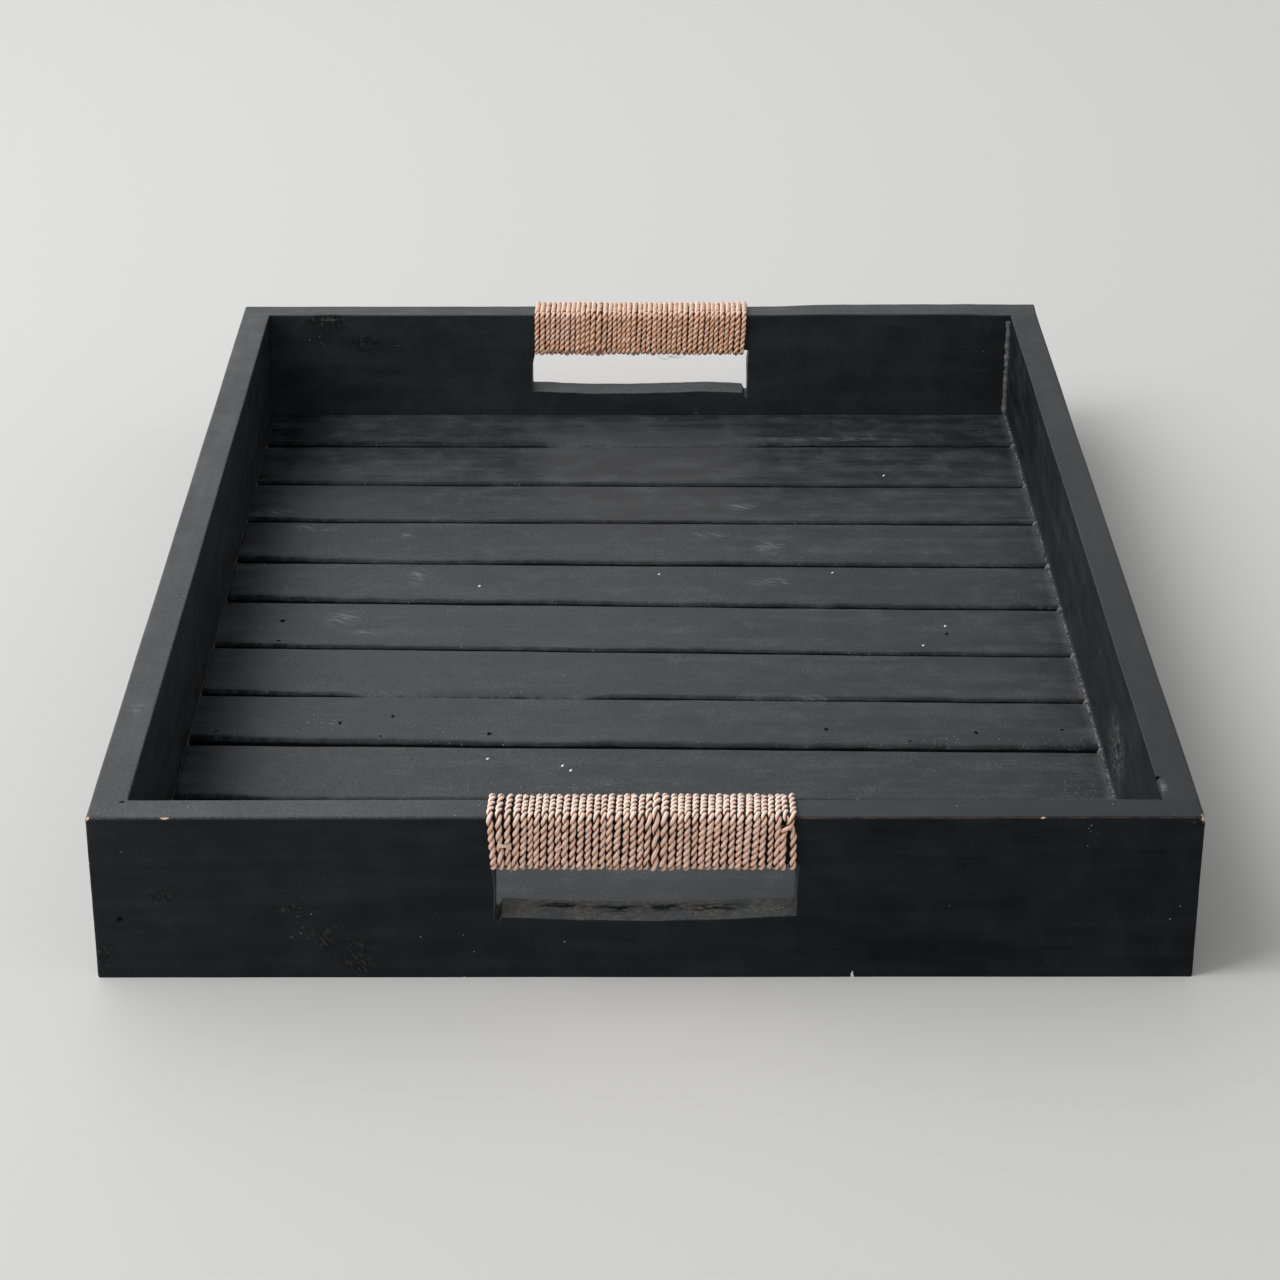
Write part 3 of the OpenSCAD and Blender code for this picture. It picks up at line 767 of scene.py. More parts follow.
def drill_worm_holes(piece, holes, top):
    """Cuts small round slanted holes that insects left before the wood was painted."""
    slant = Matrix.Rotation(0.35, 4, "X")
    cutters = bmesh.new()
    for x, y, radius in holes:
        bmesh.ops.create_cone(
            cutters, cap_ends=True, segments=10, radius1=radius * 0.7, radius2=radius * 1.1, depth=5 * MM,
            matrix=Matrix.Translation((x, y, top)) @ slant,
        )
    mesh = bpy.data.meshes.new("worm_holes")
    cutters.to_mesh(mesh)
    mesh.materials.append(piece.data.materials[0])
    cutter = put_in_scene("worm_holes", mesh)
    cut = piece.modifiers.new("holes", "BOOLEAN")
    cut.operation = "DIFFERENCE"
    cut.solver = "EXACT"
    cut.object = cutter
    graph = bpy.context.evaluated_depsgraph_get()
    holed = bpy.data.meshes.new_from_object(piece.evaluated_get(graph), depsgraph=graph)
    piece.modifiers.remove(cut)
    piece.data = holed
    bpy.data.objects.remove(cutter)
    holed.set_sharp_from_angle(angle=math.radians(48))


def seated(points, spots):
    """The small spots that lie on a slat, each moved to the nearest of its points."""
    longest_move = 2.5
    found = []
    for place, reach in spots:
        gaps = away_from(points, place, (1, 1, 1))
        if gaps.min() < longest_move:
            found.append((points[gaps.argmin()] / MM, reach))
    return found


def mark_floor(piece, spots, holes, top):
    """Adds the scuffs, flecks and pitted patches of a slat to its marks, and painted shade in and round its
    worm holes.
    """
    mesh = piece.data
    points = np.empty(len(mesh.vertices) * 3)
    mesh.vertices.foreach_get("co", points)
    points = points.reshape(-1, 3)

    def raise_mark(mark, shares):
        """Raises a mark to at least the shares."""
        attribute = mesh.attributes.get(mark) or mesh.attributes.new(mark, "FLOAT", "POINT")
        values = np.empty(len(points), np.float32)
        attribute.data.foreach_get("value", values)
        attribute.data.foreach_set("value", np.maximum(values, shares).astype(np.float32))

    for mark, places in spots.items():
        raise_mark(mark, spot_shares(points, seated(points, places) if mark == "fleck" else places))
    for x, y, radius in holes:
        away = np.hypot(points[:, X] - x, points[:, Y] - y)
        below = top - points[:, Z]
        in_hole = (below > MM) & (below < 4 * MM)
        # Painted shade: the hole's wall and a ring round its mouth are marked dark.
        raise_mark("dark", away < np.where(in_hole, radius + 1.3 * MM, radius * 1.3))


slat_names = sorted(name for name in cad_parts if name.startswith("floor_slat"))
slat_shape = slat_tree()
slat_luck = random.Random(5)
nowhere = 1.0
filled_seams = {"floor_slat_05": (-118 * MM, -12 * MM), "floor_slat_11": (-48 * MM, 58 * MM)}
worm_holes = [
    (-146.2, 8.4, 0.6), (-146.4, -10.5, 0.6), (-162.3, -90.6, 0.45), (-115.8, -83.9, 0.5),
    (-99.4, -94.8, 0.4), (-96.1, -78.0, 0.45), (-58.4, -92.6, 0.7), (69.4, -88.8, 0.45),
    (123.2, -4.0, 0.5), (100.8, -99.0, 0.5), (126.4, -92.3, 0.6), (159.2, -89.7, 0.5),
]
scuffs = [
    (-160.5, 120, 11, 6), (-141.5, 103.5, 15, 5), (-94, 52, 5, 12), (-122, 11, 9, 10), (-112, -3.5, 13, 4),
    (-101.5, 95.5, 4, 4), (54.5, 82.5, 8, 10), (27, 96, 12, 4), (43, 126.5, 9, 4), (54, 47, 12, 5),
    (66, -64, 10, 5), (84, 206, 45, 3),
]
flecks = [
    (-159.6, 66.6, 1.7, 1.0), (-68.1, 43.5, 1.2, 1.0), (122.5, 4, 0.75, 0.85), (112.4, -15.2, 0.75, 0.85),
    (109.9, 161.8, 0.75, 0.85), (79.9, 55.8, 0.75, 0.85), (6.8, 54.5, 0.75, 0.85),
    (-30.5, -118.0, 0.75, 0.85), (-27.0, -121.5, 0.75, 0.85), (-58.0, -112.0, 0.75, 0.85),
]
pits = [
    (158, -98, 16, 14), (163, -140, 14, 18), (-60, -134, 22, 8), (-20, -138, 30, 8), (112, -96, 14, 10),
    (-128, -82, 24, 12),
]
floor_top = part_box(slat_names[0])[1].z / MM
floor_spots = {
    mark: [((x, y, floor_top), (wide, deep, high)) for x, y, wide, deep in places]
    for mark, high, places in (("scuff", 4, scuffs), ("fleck", 2, flecks), ("pitted", 4, pits))
}
for node in slat_names:
    low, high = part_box(node)
    (front_left, back_left), (front_right, back_right) = slat_corners(node)
    filled = filled_seams.get(node, (nowhere, nowhere))
    slat = shape_from_tree(node + "_painted", slat_shape, {
        "Length": high.x - low.x,
        "Front left": front_left,
        "Front right": front_right,
        "Back left": back_left,
        "Back right": back_right,
        "Underside": low.z,
        "Thickness": high.z - low.z + slat_luck.uniform(-0.2, 0.1) * MM,
        "Front radius": slat_luck.uniform(2.4, 4.2) * (0.2 if node == slat_names[0] else 1) * MM,
        "Back radius": 0.22 * MM,
        "Filled from": filled[0],
        "Filled to": filled[1],
        "Seam": 1.1 * MM,
        "Seed": slat_luck.uniform(0, 40),
        "Paint": paint_slats,
    })
    start, stop = min(front_left, front_right) + 3 * MM, max(back_left, back_right) - 3 * MM
    holes = [(x * MM, y * MM, r * MM) for x, y, r in worm_holes if start < y * MM < stop]
    if holes:
        drill_worm_holes(slat, holes, high.z)
    mark_floor(slat, floor_spots, holes, high.z)
    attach(slat, "root")
    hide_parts(node)

# Paint and glue dust have gathered in a thin rough bead where the slats meet the side boards,
# thicker where a seam runs into the wall, and in the tray's four inner corners.
bead_paint, bead_tree, bead_shader, bead_place = new_finish("dusty_paint_bead")
bead_grains = patches(bead_place, 800.0, 3.0, 0.7)
bead_side = spread(socket(bead_tree, "ShaderNodeSeparateXYZ", _0=bead_place), -0.1, 0.1)
bead_pale = blended(bead_side, (0.05, 0.04, 0.034, 1), (0.17, 0.165, 0.165, 1))
bead_clumps = spread(patches(bead_place, 60.0, 2.0), 0.35, 0.6, 0.5, 1.0)
bead_thick = spread(mark_of(bead_tree, "girth"), 1.3, 2.0, 0.0, 0.8)
bead_spots = larger(times(spread(bead_grains, 0.4, 0.6), bead_clumps), bead_thick)
bead_black = (0.012, 0.0125, 0.014, 1)
fill(bead_shader, Base_Color=blended(bead_spots, bead_black, bead_pale), IOR=1.34, Roughness=0.8)
relief(bead_shader, strength=0.6, distance=0.3 * MM, height=bead_grains)


def line_mark(tree, name, kind="FLOAT"):
    """A line's named mark, in the tree that makes a shape along it."""
    return socket(tree, "GeometryNodeInputNamedAttribute", data_type=kind, Name=name)


def tube_along(line, ring, size):
    """Closed tube along a line, its ring made larger or smaller by size."""
    ends = {"Curve": line, "Profile_Curve": ring, "Scale": size, "Fill_Caps": True}
    return socket(line.id_data, "GeometryNodeCurveToMesh", **ends)


def bead_shape():
    """Tree that makes a lumpy bead along the line it is given, as thick as the line's girth."""
    tree, given = new_shape_tree("lumpy_bead", ["Radius"], {"Paint": "Material"})
    line = socket(tree, "GeometryNodeMeshToCurve", Mesh=given["Geometry"])
    girth = line_mark(tree, "girth")
    ring = socket(
        tree, "GeometryNodeCurvePrimitiveCircle", mode="RADIUS", Resolution=8, Radius=given["Radius"]
    )
    tube = tube_along(line, ring, girth)
    lump = times(less(patches(socket(tree, "GeometryNodeInputPosition"), 900.0, 2.0), 0.5), 0.7 * MM)
    push = vectors("SCALE", socket(tree, "GeometryNodeInputNormal"), Scale=lump)
    lumpy = socket(tree, "GeometryNodeSetPosition", Geometry=tube, Offset=push)
    end_shape_tree(tree, lumpy, given["Paint"])
    return tree


def line_mesh(name, chains, marks):
    """Mesh of open chains of edges; marks give each point's named numbers or directions."""
    points = [point for chain in chains for point in chain]
    edges = []
    for chain in chains:
        start = edges[-1][1] + 1 if edges else 0
        edges += [(start + i, start + i + 1) for i in range(len(chain) - 1)]
    mesh = bpy.data.meshes.new(name)
    mesh.from_pydata(points, edges, [])
    for mark, values in marks.items():
        flat = np.array([value for chain in values for value in chain], np.float32)
        kind, field = ("FLOAT", "value") if flat.ndim == 1 else ("FLOAT_VECTOR", "vector")
        mesh.attributes.new(mark, kind, "POINT").data.foreach_set(field, flat.ravel())
    return mesh


seam_ends = [[slat_corners(node)[side][1] for node in slat_names[:-1]] for side in (0, 1)]
bead_step = 0.8 * MM
bead_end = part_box("right_side_board")[1].y - 2 * MM
bead = bead_shape()
for side, name, size in ((0, "left", 0.45 * MM), (1, "right", 0.85 * MM)):
    chain, girths = [], []
    count = int(2 * bead_end / bead_step)
    for i in range(count + 1):
        y = -bead_end + i * bead_step
        lift = noise.noise(Vector((y * 60, side * 9.0, 0)))
        blob = max((1.3 * math.exp(-((y - seam) / (1.4 * MM)) ** 2) for seam in seam_ends[side]), default=0)
        x = (2 * side - 1) * (wall_inner - 0.25 + 0.3 * lift) * MM
        chain.append((x, y, (floor_top + 0.05) * MM))
        girths.append(max(0.2, 0.8 + 0.5 * noise.noise(Vector((y * 350, side * 5.0, 3))) + blob))
    chains, girth_chains = [chain], [girths]
    for end in (-1, 1):
        upright, girths = [], []
        for i in range(int((rim - floor_top - 2) / 0.8)):
            z = floor_top + 0.8 * i
            stray = 0.25 * noise.noise(Vector((z * 0.2, side * 4.0, end * 2.0)))
            x = (2 * side - 1) * (wall_inner - 0.3 + stray) * MM
            upright.append((x, end * (bead_end / MM + 1.7 - stray) * MM, z * MM))
            filled = 1.75 if side == 1 and end == 1 else 0.75
            girths.append(filled + 0.55 * noise.noise(Vector((z * 0.35, side * 5.0, end * 7.0))))
        chains.append(upright)
        girth_chains.append(girths)
    line = line_mesh(name + "_bead_line", chains, {"girth": girth_chains})
    piece = shape_from_tree(name + "_floor_bead", bead, {"Radius": size, "Paint": bead_paint}, line)
    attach(piece, "root")

# The nails are plain wire nails, set below the wood and painted over, so only their dimples
# show. They keep their solids, in dull steel.
nail_steel, _, steel_shader, steel_place = new_finish("dull_nail_steel")
steel_clouds = patches(steel_place, 900.0, 3.0)
steel_colour = blended(steel_clouds, (0.16, 0.16, 0.165, 1), (0.36, 0.35, 0.34, 1))
steel_dull = spread(steel_clouds, 0.3, 0.7, 0.35, 0.6)
fill(steel_shader, Base_Color=steel_colour, Roughness=steel_dull, Metallic=1.0)
for node in ("front_corner_nails", "rear_corner_nails", "left_slat_nails", "right_slat_nails"):
    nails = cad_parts[node]
    nails.data.materials.clear()
    nails.data.materials.append(nail_steel)

# Each handle is wrapped with one length of two-ply twisted plant-fibre cord, wound turn beside
# turn round the bar above the hand hole. Turns and plies are uneven, the front wrap's last turn
# crosses under the one before it, and a few fibres have come loose.
cord_radius = 1.25 * MM
ply_radius = 0.64 * MM
twist_radius = 0.52 * MM
lay_length = 5.3 * MM
wrap_turns = 41
turn_steps = 64


def cord_material(name, tans, hollow, deep, ridge_highlight, top_highlight, lit_face, lit_top):
    """Dry plant fibre between two tans. Its colour also holds painted shade in the twist and between the
    turns, as deep says, darkest in the hollow colour, a pale painted highlight on its ridges and on top,
    and painted light on face and top by lit_face and lit_top."""
    material, tree, shader, place = new_finish(name)
    pale_tan, streak_brown, highlight_pale, shade_brown = (
        (0.92, 0.7, 0.58, 1), (0.48, 0.21, 0.11, 1), (0.96, 0.83, 0.74, 1), (0.44, 0.2, 0.11, 1)
    )
    around, along = times(mark_of(tree, "around"), 9.0), times(mark_of(tree, "along"), 110.0)
    strand = socket(tree, "ShaderNodeCombineXYZ", X=around, Y=along, Z=0.0)
    fibres = patches(strand, 1.0, 4.0, 0.65)
    lengths = patches(place, 330.0, 3.0, 0.6)
    tan = blended(spread(lengths, 0.3, 0.7), *tans)
    tan = blended(times(spread(patches(place, 70.0, 2.0, 0.5), 0.45, 0.7), 0.4), tan, pale_tan)
    streaked = blended(spread(fibres, 0.4, 0.7, 0.0, 0.65), tan, streak_brown)
    crest, upward = mark_of(tree, "crest"), mark_of(tree, "upward")
    facing = spread(mark_of(tree, "facing"), 0.0, 0.6)
    # Painted shade: the twist's hollows and the gaps between turns are darkened by crest and facing, as
    # deep says.
    unshaded = times_plus(less(1.0, times(spread(crest, 0.4, 0.8), facing)), -deep, 1.0)
    # Painted highlight: pale on the plies' crests, and more on top.
    ridge_tint = times(spread(crest, 0.7, 1.0), times_plus(upward, top_highlight, ridge_highlight))
    highlit_colour = blended(ridge_tint, streaked, highlight_pale)
    twist_shade_colour = blended(spread(unshaded, 0.0, 0.5), hollow, shade_brown)
    # Painted light: the face and the top are made lighter or darker by lit_face and lit_top.
    lit = times(spread(unshaded, 0.3, 0.9), times_plus(upward, lit_top - lit_face, lit_face))
    fill(
        shader, Base_Color=blended(lit, twist_shade_colour, highlit_colour), Roughness=spread(fibres, 0.2, 0.8, 0.28, 0.48),
        Sheen_Weight=0.3, Sheen_Roughness=0.4, Sheen_Tint=(1.0, 0.93, 0.88, 1),
    )
    height = times_plus(fibres, 1.0, times(lengths, 0.7))
    relief(shader, strength=0.5, distance=0.15 * MM, height=height)
    return material


def ply_tree():
    """Tree that lays one ply round the line it is given, by the line's outward, girth and twist marks."""
    numbers = ["Ply radius", "Twist radius", "Start turn", "Spacing", "Seed"]
    tree, given = new_shape_tree("twisted_ply", numbers, {"Sides": "Int", "Fibre": "Material"})
    line = socket(tree, "GeometryNodeMeshToCurve", Mesh=given["Geometry"])
    fine = socket(
        tree, "GeometryNodeResampleCurve", mode="LENGTH", Curve=line, Length=given["Spacing"]
    )
    travel = socket(tree, "GeometryNodeSplineParameter", "Length")
    place = socket(tree, "ShaderNodeCombineXYZ", X=travel, Y=given["Seed"], Z=0.0)
    girth = line_mark(tree, "girth")
    outward, middle = (line_mark(tree, name, "FLOAT_VECTOR") for name in ("outward", "middle"))
    fine = stored_mark(fine, "middle", socket(tree, "GeometryNodeInputPosition"), "FLOAT_VECTOR")
    fine = stored_mark(fine, "along", travel)
    uneven = times(less(patches(place, 110.0, 2.0), 0.5), 2.6)
    angle = plus(line_mark(tree, "twist"), times_plus(given["Start turn"], 2 * math.pi, uneven))
    beside = vectors("CROSS_PRODUCT", socket(tree, "GeometryNodeInputTangent"), _1=outward)
    swing = times(given["Twist radius"], girth)
    out_part = vectors("SCALE", outward, Scale=times(sums("COSINE", angle), swing))
    side_part = vectors("SCALE", beside, Scale=times(sums("SINE", angle), swing))
    offset = vectors("ADD", out_part, _1=side_part)
    twisted = socket(tree, "GeometryNodeSetPosition", Geometry=fine, Offset=offset)
    thick = spread(patches(place, 260.0, 2.0), 0.25, 0.75, -0.13, 0.13)
    slow = spread(patches(place, 40.0, 1.0), 0.3, 0.7, 0.92, 1.08)
    ring = socket(
        tree, "GeometryNodeCurvePrimitiveCircle", mode="RADIUS",
        Resolution=given["Sides"], Radius=given["Ply radius"],
    )
    ring = stored_mark(ring, "around", socket(tree, "GeometryNodeSplineParameter", "Factor"))
    tube = tube_along(twisted, ring, times(plus(thick, slow), girth))
    away = vectors("SUBTRACT", socket(tree, "GeometryNodeInputPosition"), _1=middle)
    whole = times(plus(given["Ply radius"], given["Twist radius"]), girth)
    upward = socket(tree, "ShaderNodeSeparateXYZ", 2, _0=outward)
    # The crest, facing and upward marks tell the fibre colour where to paint shade and highlight.
    for name, value in (
        ("crest", divided(vectors("LENGTH", away, 1), whole)),
        ("facing", vectors("DOT_PRODUCT", vectors("NORMALIZE", away), 1, _1=outward)),
        ("upward", larger(upward, 0.0)),
    ):
        tube = stored_mark(tube, name, value)
    for name in ("middle", "outward"):
        tube = socket(tree, "GeometryNodeRemoveAttribute", Geometry=tube, Name=name)
    end_shape_tree(tree, tube, given["Fibre"])
    return tree


def bar_round(flat_y, flat_z, corner):
    """Legs of the way round the bar, from the middle of its underside and over its front first."""
    arc = (corner * math.pi / 2, None)
    return [
        (flat_y, (-flat_y, -flat_z), 270), (*arc, 270), (2 * flat_z, (-flat_y, flat_z), 180), (*arc, 180),
        (2 * flat_y, (flat_y, flat_z), 90), (*arc, 90), (2 * flat_z, (flat_y, -flat_z), 0), (*arc, 0),
        (flat_y, (0, -flat_z), -90),
    ]


def place_round(legs, flat_z, share):
    """Place on the bar's wood under the cord, as Y, Z and the outward way, at a share of one turn."""
    travel = share * sum(leg[0] for leg in legs)
    here = (0.0, -flat_z)
    for length, target, angle in legs:
        part = min(travel / length, 1)
        direction = math.radians(angle if target else angle - 90 * part)
        if target:
            here = (here[0] + (target[0] - here[0]) * part, here[1] + (target[1] - here[1]) * part)
        if travel <= length:
            break
        travel -= length
    return here, direction


def winding_line(end, seed, span, lean, crossed, last_gap, lay_luck, odd_turns):
    """Line that one cord's middle follows, its first turn at the left end of the bar."""
    luck = random.Random(seed)
    low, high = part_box(end + "_handle_wrap")
    board_low, board_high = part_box(end + "_end_board")
    bar_bottom = low.z + max(board_low.y - low.y, high.y - board_high.y)
    middle_y = (board_low.y + board_high.y) / 2
    middle_z = (bar_bottom + board_high.z) / 2
    flat_y = (board_high.y - board_low.y) / 2 - ease_radius
    flat_z = (board_high.z - bar_bottom) / 2 - ease_radius
    corner = ease_radius + cord_radius * 0.96
    legs = bar_round(flat_y, flat_z, corner)
    round_length = sum(leg[0] for leg in legs)
    girths = [luck.uniform(0.88, 1.08) for _ in range(wrap_turns + 1)]
    even_lay = 2 * round_length / round(2 * round_length / lay_length)
    lays = [even_lay * luck.uniform(*lay_luck) for _ in girths]
    for turn, (girth, lay) in odd_turns.items():
        girths[turn], lays[turn] = girth, lay_length * lay
    widths = [(girths[k] + girths[k + 1]) / 2 + luck.uniform(0, 0.08) for k in range(wrap_turns)]
    widths[wrap_turns - 2] += last_gap
    scale = (span[1] - span[0] - 2 * cord_radius) / sum(widths[:-1])
    slots = [span[0] + cord_radius + scale * sum(widths[:k]) for k in range(wrap_turns)]
    slots.append(slots[-1] + scale * widths[-1])
    slots.insert(0, slots[0] - scale)
    tilt, bow, proud = (
        [luck.uniform(*least_most) * MM for _ in girths]
        for least_most in ((-0.3, 0.3), (-0.25, 0.25), (-0.04, 0.16))
    )
    chain, outs, girth_marks, twists = [], [], [], []
    angle = 0.0
    last_share = 0.9
    crossing = 0.355
    for step in range(int((wrap_turns - 1 + last_share) * turn_steps) + 1):
        k, part = divmod(step, turn_steps)
        share = part / turn_steps
        (wood_y, wood_z), direction = place_round(legs, flat_z, share)
        out = Vector((0, math.cos(direction), math.sin(direction)))

        def between(values):
            """Value at this share of the way from one turn's value to the next turn's."""
            return values[k] * (1 - share) + values[k + 1] * share

        girth = between(girths)
        reach = corner + (girth - 1) * cord_radius + between(proud)
        on_bar = slots[k + 1] + (slots[min(k + 2, wrap_turns + 1)] - slots[k + 1]) * (share - 0.25)
        swap = ramp(share, 0.3, 0.41)
        if crossed and k == wrap_turns - 2:
            on_bar = (slots[k + 1] - 0.8 * MM * ramp(share, 0.05, 0.15)) * (1 - swap) + slots[k + 2] * swap
            reach += 1.0 * MM * math.exp(-((share - crossing) / 0.045) ** 2)
        if crossed and k == wrap_turns - 1:
            on_bar = (slots[k + 1] - 0.15 * MM) * (1 - swap) + slots[k] * swap
            reach -= 0.1 * MM * math.exp(-((share - crossing) / 0.05) ** 2)
        height = (wood_z + reach * out.z) / (flat_z + corner)
        on_bar += between(tilt) * height + between(bow) * math.cos(height * math.pi / 2)
        on_bar -= lean * (0.45 + height) * math.exp(-(k + share) / 1.6)
        chain.append((on_bar, middle_y + wood_y + reach * out.y, middle_z + wood_z + reach * out.z))
        outs.append(tuple(out))
        girth_marks.append(girth)
        angle += 2 * math.pi * round_length / turn_steps / between(lays)
        twists.append(angle)
    marks = {"outward": [outs], "girth": [girth_marks], "twist": [twists]}
    return line_mesh(end + "_cord_line", [chain], marks)


def fibre_lines(name, fibres):
    """Line mesh of fine fibres, each given as its places, its thickness and the way that it faces."""
    outs, girths, twists = [], [], []
    for places, thickness, out in fibres:
        outs.append([out] * len(places))
        girths.append([thickness * (1 - 0.6 * i / len(places)) for i in range(len(places))])
        twists.append([0.0] * len(places))
    chains = [[tuple(place) for place in places] for places, _, _ in fibres]
    return line_mesh(name, chains, {"outward": outs, "girth": girths, "twist": twists})


def stray_fibre(place, way, length, luck):
    """Places along a fibre that starts at place and strays along way, bending as it goes."""
    here = Vector(place) * MM
    heading = Vector(way).normalized()
    bend = Vector([luck.uniform(-1, 1) for _ in range(3)]) * 0.35
    places = []
    for _ in range(14):
        places.append(here)
        heading = (heading + bend * 0.3 + Vector((0, 0, -0.05))).normalized()
        here = here + heading * length * MM / 14
    return places


def bridging_tuft(left, right, out_y, strands, spread_z):
    """Flat tuft of fibres from one turn to the next, gathered in its middle and fanned at both ends."""
    fibres = []
    for number in range(strands):
        side = 2 * number / (strands - 1) - 1
        places = []
        for share in (i / 8 for i in range(9)):
            x = left[0] + (right[0] - left[0]) * share
            fan = side * spread_z * (0.3 + 0.7 * (2 * share - 1) ** 2)
            z = left[1] + (right[1] - left[1]) * share + fan
            y = out_y - 0.5 * math.sin(math.pi * share) + stray_luck.uniform(-0.05, 0.05)
            places.append(Vector((x, y, z)) * MM)
        fibres.append((places, stray_luck.uniform(3.0, 4.4), (0.0, -1.0, 0.0)))
    return fibres


twist = ply_tree()
fibre_of = {}
wraps = {
    "front": {
        "seed": 3, "span": (-51.7 * MM, 49.9 * MM), "lean": 1.2 * MM, "crossed": True, "last_gap": 0.12,
        "lay_luck": (0.85, 1.2), "odd_turns": {
            0: (1.02, 1.0), 1: (1.12, 1.7), 2: (0.95, 1.2), 3: (1.1, 1.5), 22: (1.2, 2.2),
            23: (1.14, 1.5), 24: (1.15, 1.3), 25: (0.9, 0.9), 34: (1.12, 1.0), 38: (1.0, 1.3),
            39: (1.05, 1.2), 40: (1.02, 1.3),
        },
    },
    "rear": {
        "seed": 8, "span": (-49.1 * MM, 49.0 * MM), "lean": 0.3 * MM, "crossed": False, "last_gap": 0.1,
        "lay_luck": (0.98, 1.02), "odd_turns": {12: (1.12, 1.4), 13: (1.08, 1.3), 39: (1.12, 1.1)},
    },
}
ply_widths = {"front": ply_radius, "rear": ply_radius * 1.12}
# Both wraps are the same cord. The rear's paler, more orange tans, lighter hollow and weaker shade and
# highlight stand for how the far wrap is lit, and lit_face and lit_top paint each wrap's face and top
# lighter or darker.
lit_fibre_looks = {
    "front": {
        "tans": ((0.66, 0.355, 0.225, 1), (0.84, 0.55, 0.4, 1)), "hollow": (0.02, 0.009, 0.005, 1),
        "deep": 1.0, "ridge_highlight": 0.45, "top_highlight": 0.5, "lit_face": 0.8, "lit_top": 1.0,
    },
    "rear": {
        "tans": ((0.88, 0.44, 0.235, 1), (0.99, 0.62, 0.4, 1)), "hollow": (0.2, 0.072, 0.034, 1),
        "deep": 0.92, "ridge_highlight": 0.2, "top_highlight": 0.5, "lit_face": 1.0, "lit_top": 0.84,
    },
}
for end, wrap in wraps.items():
    fibre_of[end] = cord_material(end + "_twisted_fibre", **lit_fibre_looks[end])
    for ply in (0, 1):
        line = winding_line(end, **wrap)
        strand = shape_from_tree(f"{end}_wrap_ply_{'ab'[ply]}", twist, {
            "Ply radius": ply_widths[end], "Twist radius": twist_radius, "Start turn": ply * 0.5,
            "Spacing": lay_length / 12, "Sides": 9, "Seed": float(wrap["seed"] + ply),
            "Fibre": fibre_of[end],
        }, line)
        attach(strand, "root")
        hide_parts(end + "_handle_wrap")

cord_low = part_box("front_handle_wrap")[0].z / MM
stray_luck = random.Random(12)
for end in ("front", "rear"):
    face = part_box(end + "_handle_wrap")[0].y / MM
    fibres = []
    if end == "front":
        fibres += bridging_tuft((-48.7, 53.2), (-44.4, 52.6), face + 0.35, strands=13, spread_z=1.25)
        fibres += bridging_tuft((-29.5, 51.2), (-27.2, 53.0), face + 0.55, strands=5, spread_z=0.6)
    else:
        for x, length, sag in ((8.5, 6.5, 1.7), (13.5, 7.5, 1.1), (17.5, -5.0, 0.8)):
            hanging = []
            for turn in (3.6 * i / 13 for i in range(14)):
                z = cord_low + 0.6 - sag * (math.sin(turn) + 0.15 * turn)
                hanging.append(Vector((x + length * turn / 3.6, face + 2.5, z)) * MM)
            # These fibres face the board, so the fibre colour paints their side seen from the front in
            # shade.
            fibres.append((hanging, 1.5, (0.0, 1.0, 0.0)))
    within = stray_luck.uniform
    for _ in range(26):
        place = (within(-49, 49), face + within(0.1, 0.5), within(cord_low + 1, 61))
        way = (within(-1, 1), -within(0.3, 0.8), within(-1, 1))
        fibre = stray_fibre(place, way, within(0.8, 2.6), stray_luck)
        fibres.append((fibre, within(0.5, 1.0), (0.0, -1.0, 0.0)))
    strays = shape_from_tree(end + "_loose_fibres", twist, {
        "Ply radius": 0.07 * MM, "Twist radius": 0.0, "Start turn": 0.0, "Spacing": 0.3 * MM, "Sides": 5,
        "Seed": 1.0, "Fibre": fibre_of[end],
    }, fibre_lines(end + "_fibre_lines", fibres))
    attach(strays, "root")

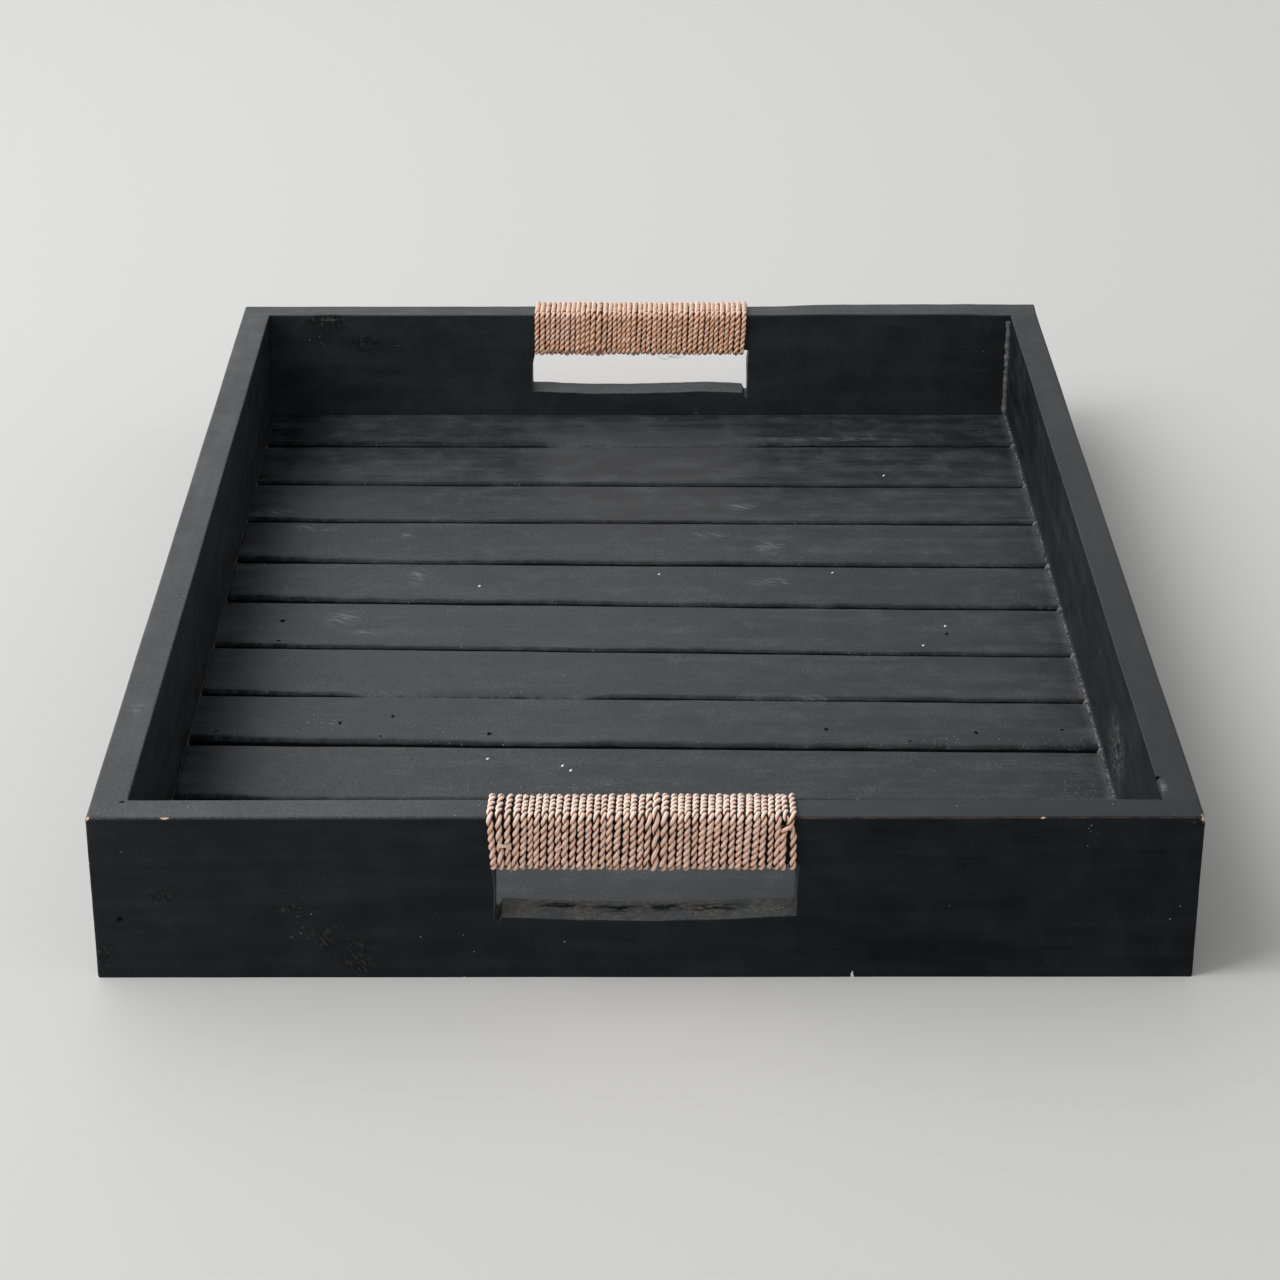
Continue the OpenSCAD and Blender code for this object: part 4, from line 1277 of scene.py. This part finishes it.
# A plain pale sweep of paper stands for the table and the wall, lit by one large soft light
# from above on the left, and by pale walls all round that are brightest behind on the left.
sweep_profile = [(-2.4, 0.0), (1.9, 0.0), (2.3, 0.04), (2.5, 0.16), (2.56, 0.3), (2.56, 0.34)]
sweep_half_width = 3.5
sweep_mesh = bpy.data.meshes.new("paper_sweep")
sweep_points = [(side * sweep_half_width, y, z - 0.02 * MM) for y, z in sweep_profile for side in (-1, 1)]
sweep_faces = [(2 * i, 2 * i + 1, 2 * i + 3, 2 * i + 2) for i in range(len(sweep_profile) - 1)]
sweep_mesh.from_pydata(sweep_points, [], sweep_faces)
sweep_mesh.shade_smooth()
sweep = put_in_scene("paper_sweep", sweep_mesh)
bend = sweep.modifiers.new("bend", "SUBSURF")
bend.levels = 4
bend.render_levels = 4
paper, paper_tree, paper_shader, paper_place = new_finish("pale_paper")
paper_away = socket(paper_tree, "ShaderNodeSeparateXYZ", 1, _0=paper_place)
# The paper runs from darker at the front to paler behind: a painted fall-off of the light, which is
# brighter behind.
paper_near, paper_far = (0.555, 0.555, 0.551, 1), (0.68, 0.68, 0.675, 1)
fill(paper_shader, Base_Color=blended(spread(paper_away, -0.9, 1.4), paper_near, paper_far), Roughness=0.6)
sweep_mesh.materials.append(paper)

softbox = bpy.data.lights.new("left_softbox", "AREA")
softbox.shape = "RECTANGLE"
softbox.size = 1.3
softbox.size_y = 1.9
softbox.energy = 54
softbox_place, softbox_aim = Vector((-1.6, -0.6, 2.15)), Vector((0.6, 1.6, 0.0))
lamp = put_in_scene("left_softbox", softbox)
lamp.location = softbox_place
lamp.rotation_euler = (softbox_aim - softbox_place).to_track_quat("-Z", "Y").to_euler()

world = bpy.data.worlds.new("studio")
world.use_nodes = True
room = world.node_tree
way = socket(room, "ShaderNodeTexCoord", 0)


def soft_lobe(toward, edge, peak):
    """Round glow of the studio round one direction."""
    share = vectors("DOT_PRODUCT", way, 1, _1=tuple(Vector(toward).normalized()))
    return spread(share, edge, 1.0, 0.0, peak)


aside, upward = (socket(room, "ShaderNodeSeparateXYZ", axis, _0=way) for axis in (X, Z))
strength = times(spread(aside, -1.0, 1.0, 0.32, 0.29), spread(upward, 0.45, 1.0, 1.0, 0.3))
lobes = [((-0.62, 0.66, 0.42), 0.5, 1.25), ((-0.6, -0.7, 0.35), 0.35, 0.45), ((0.75, -0.3, 0.5), 0.2, 0.3)]
for toward, edge, peak in lobes:
    strength = plus(strength, soft_lobe(toward, edge, peak))
fill(room.nodes["Background"], Strength=strength, Color=(1.0, 0.997, 0.99, 1))
bpy.context.scene.world = world
bpy.context.scene.view_settings.view_transform = "Standard"
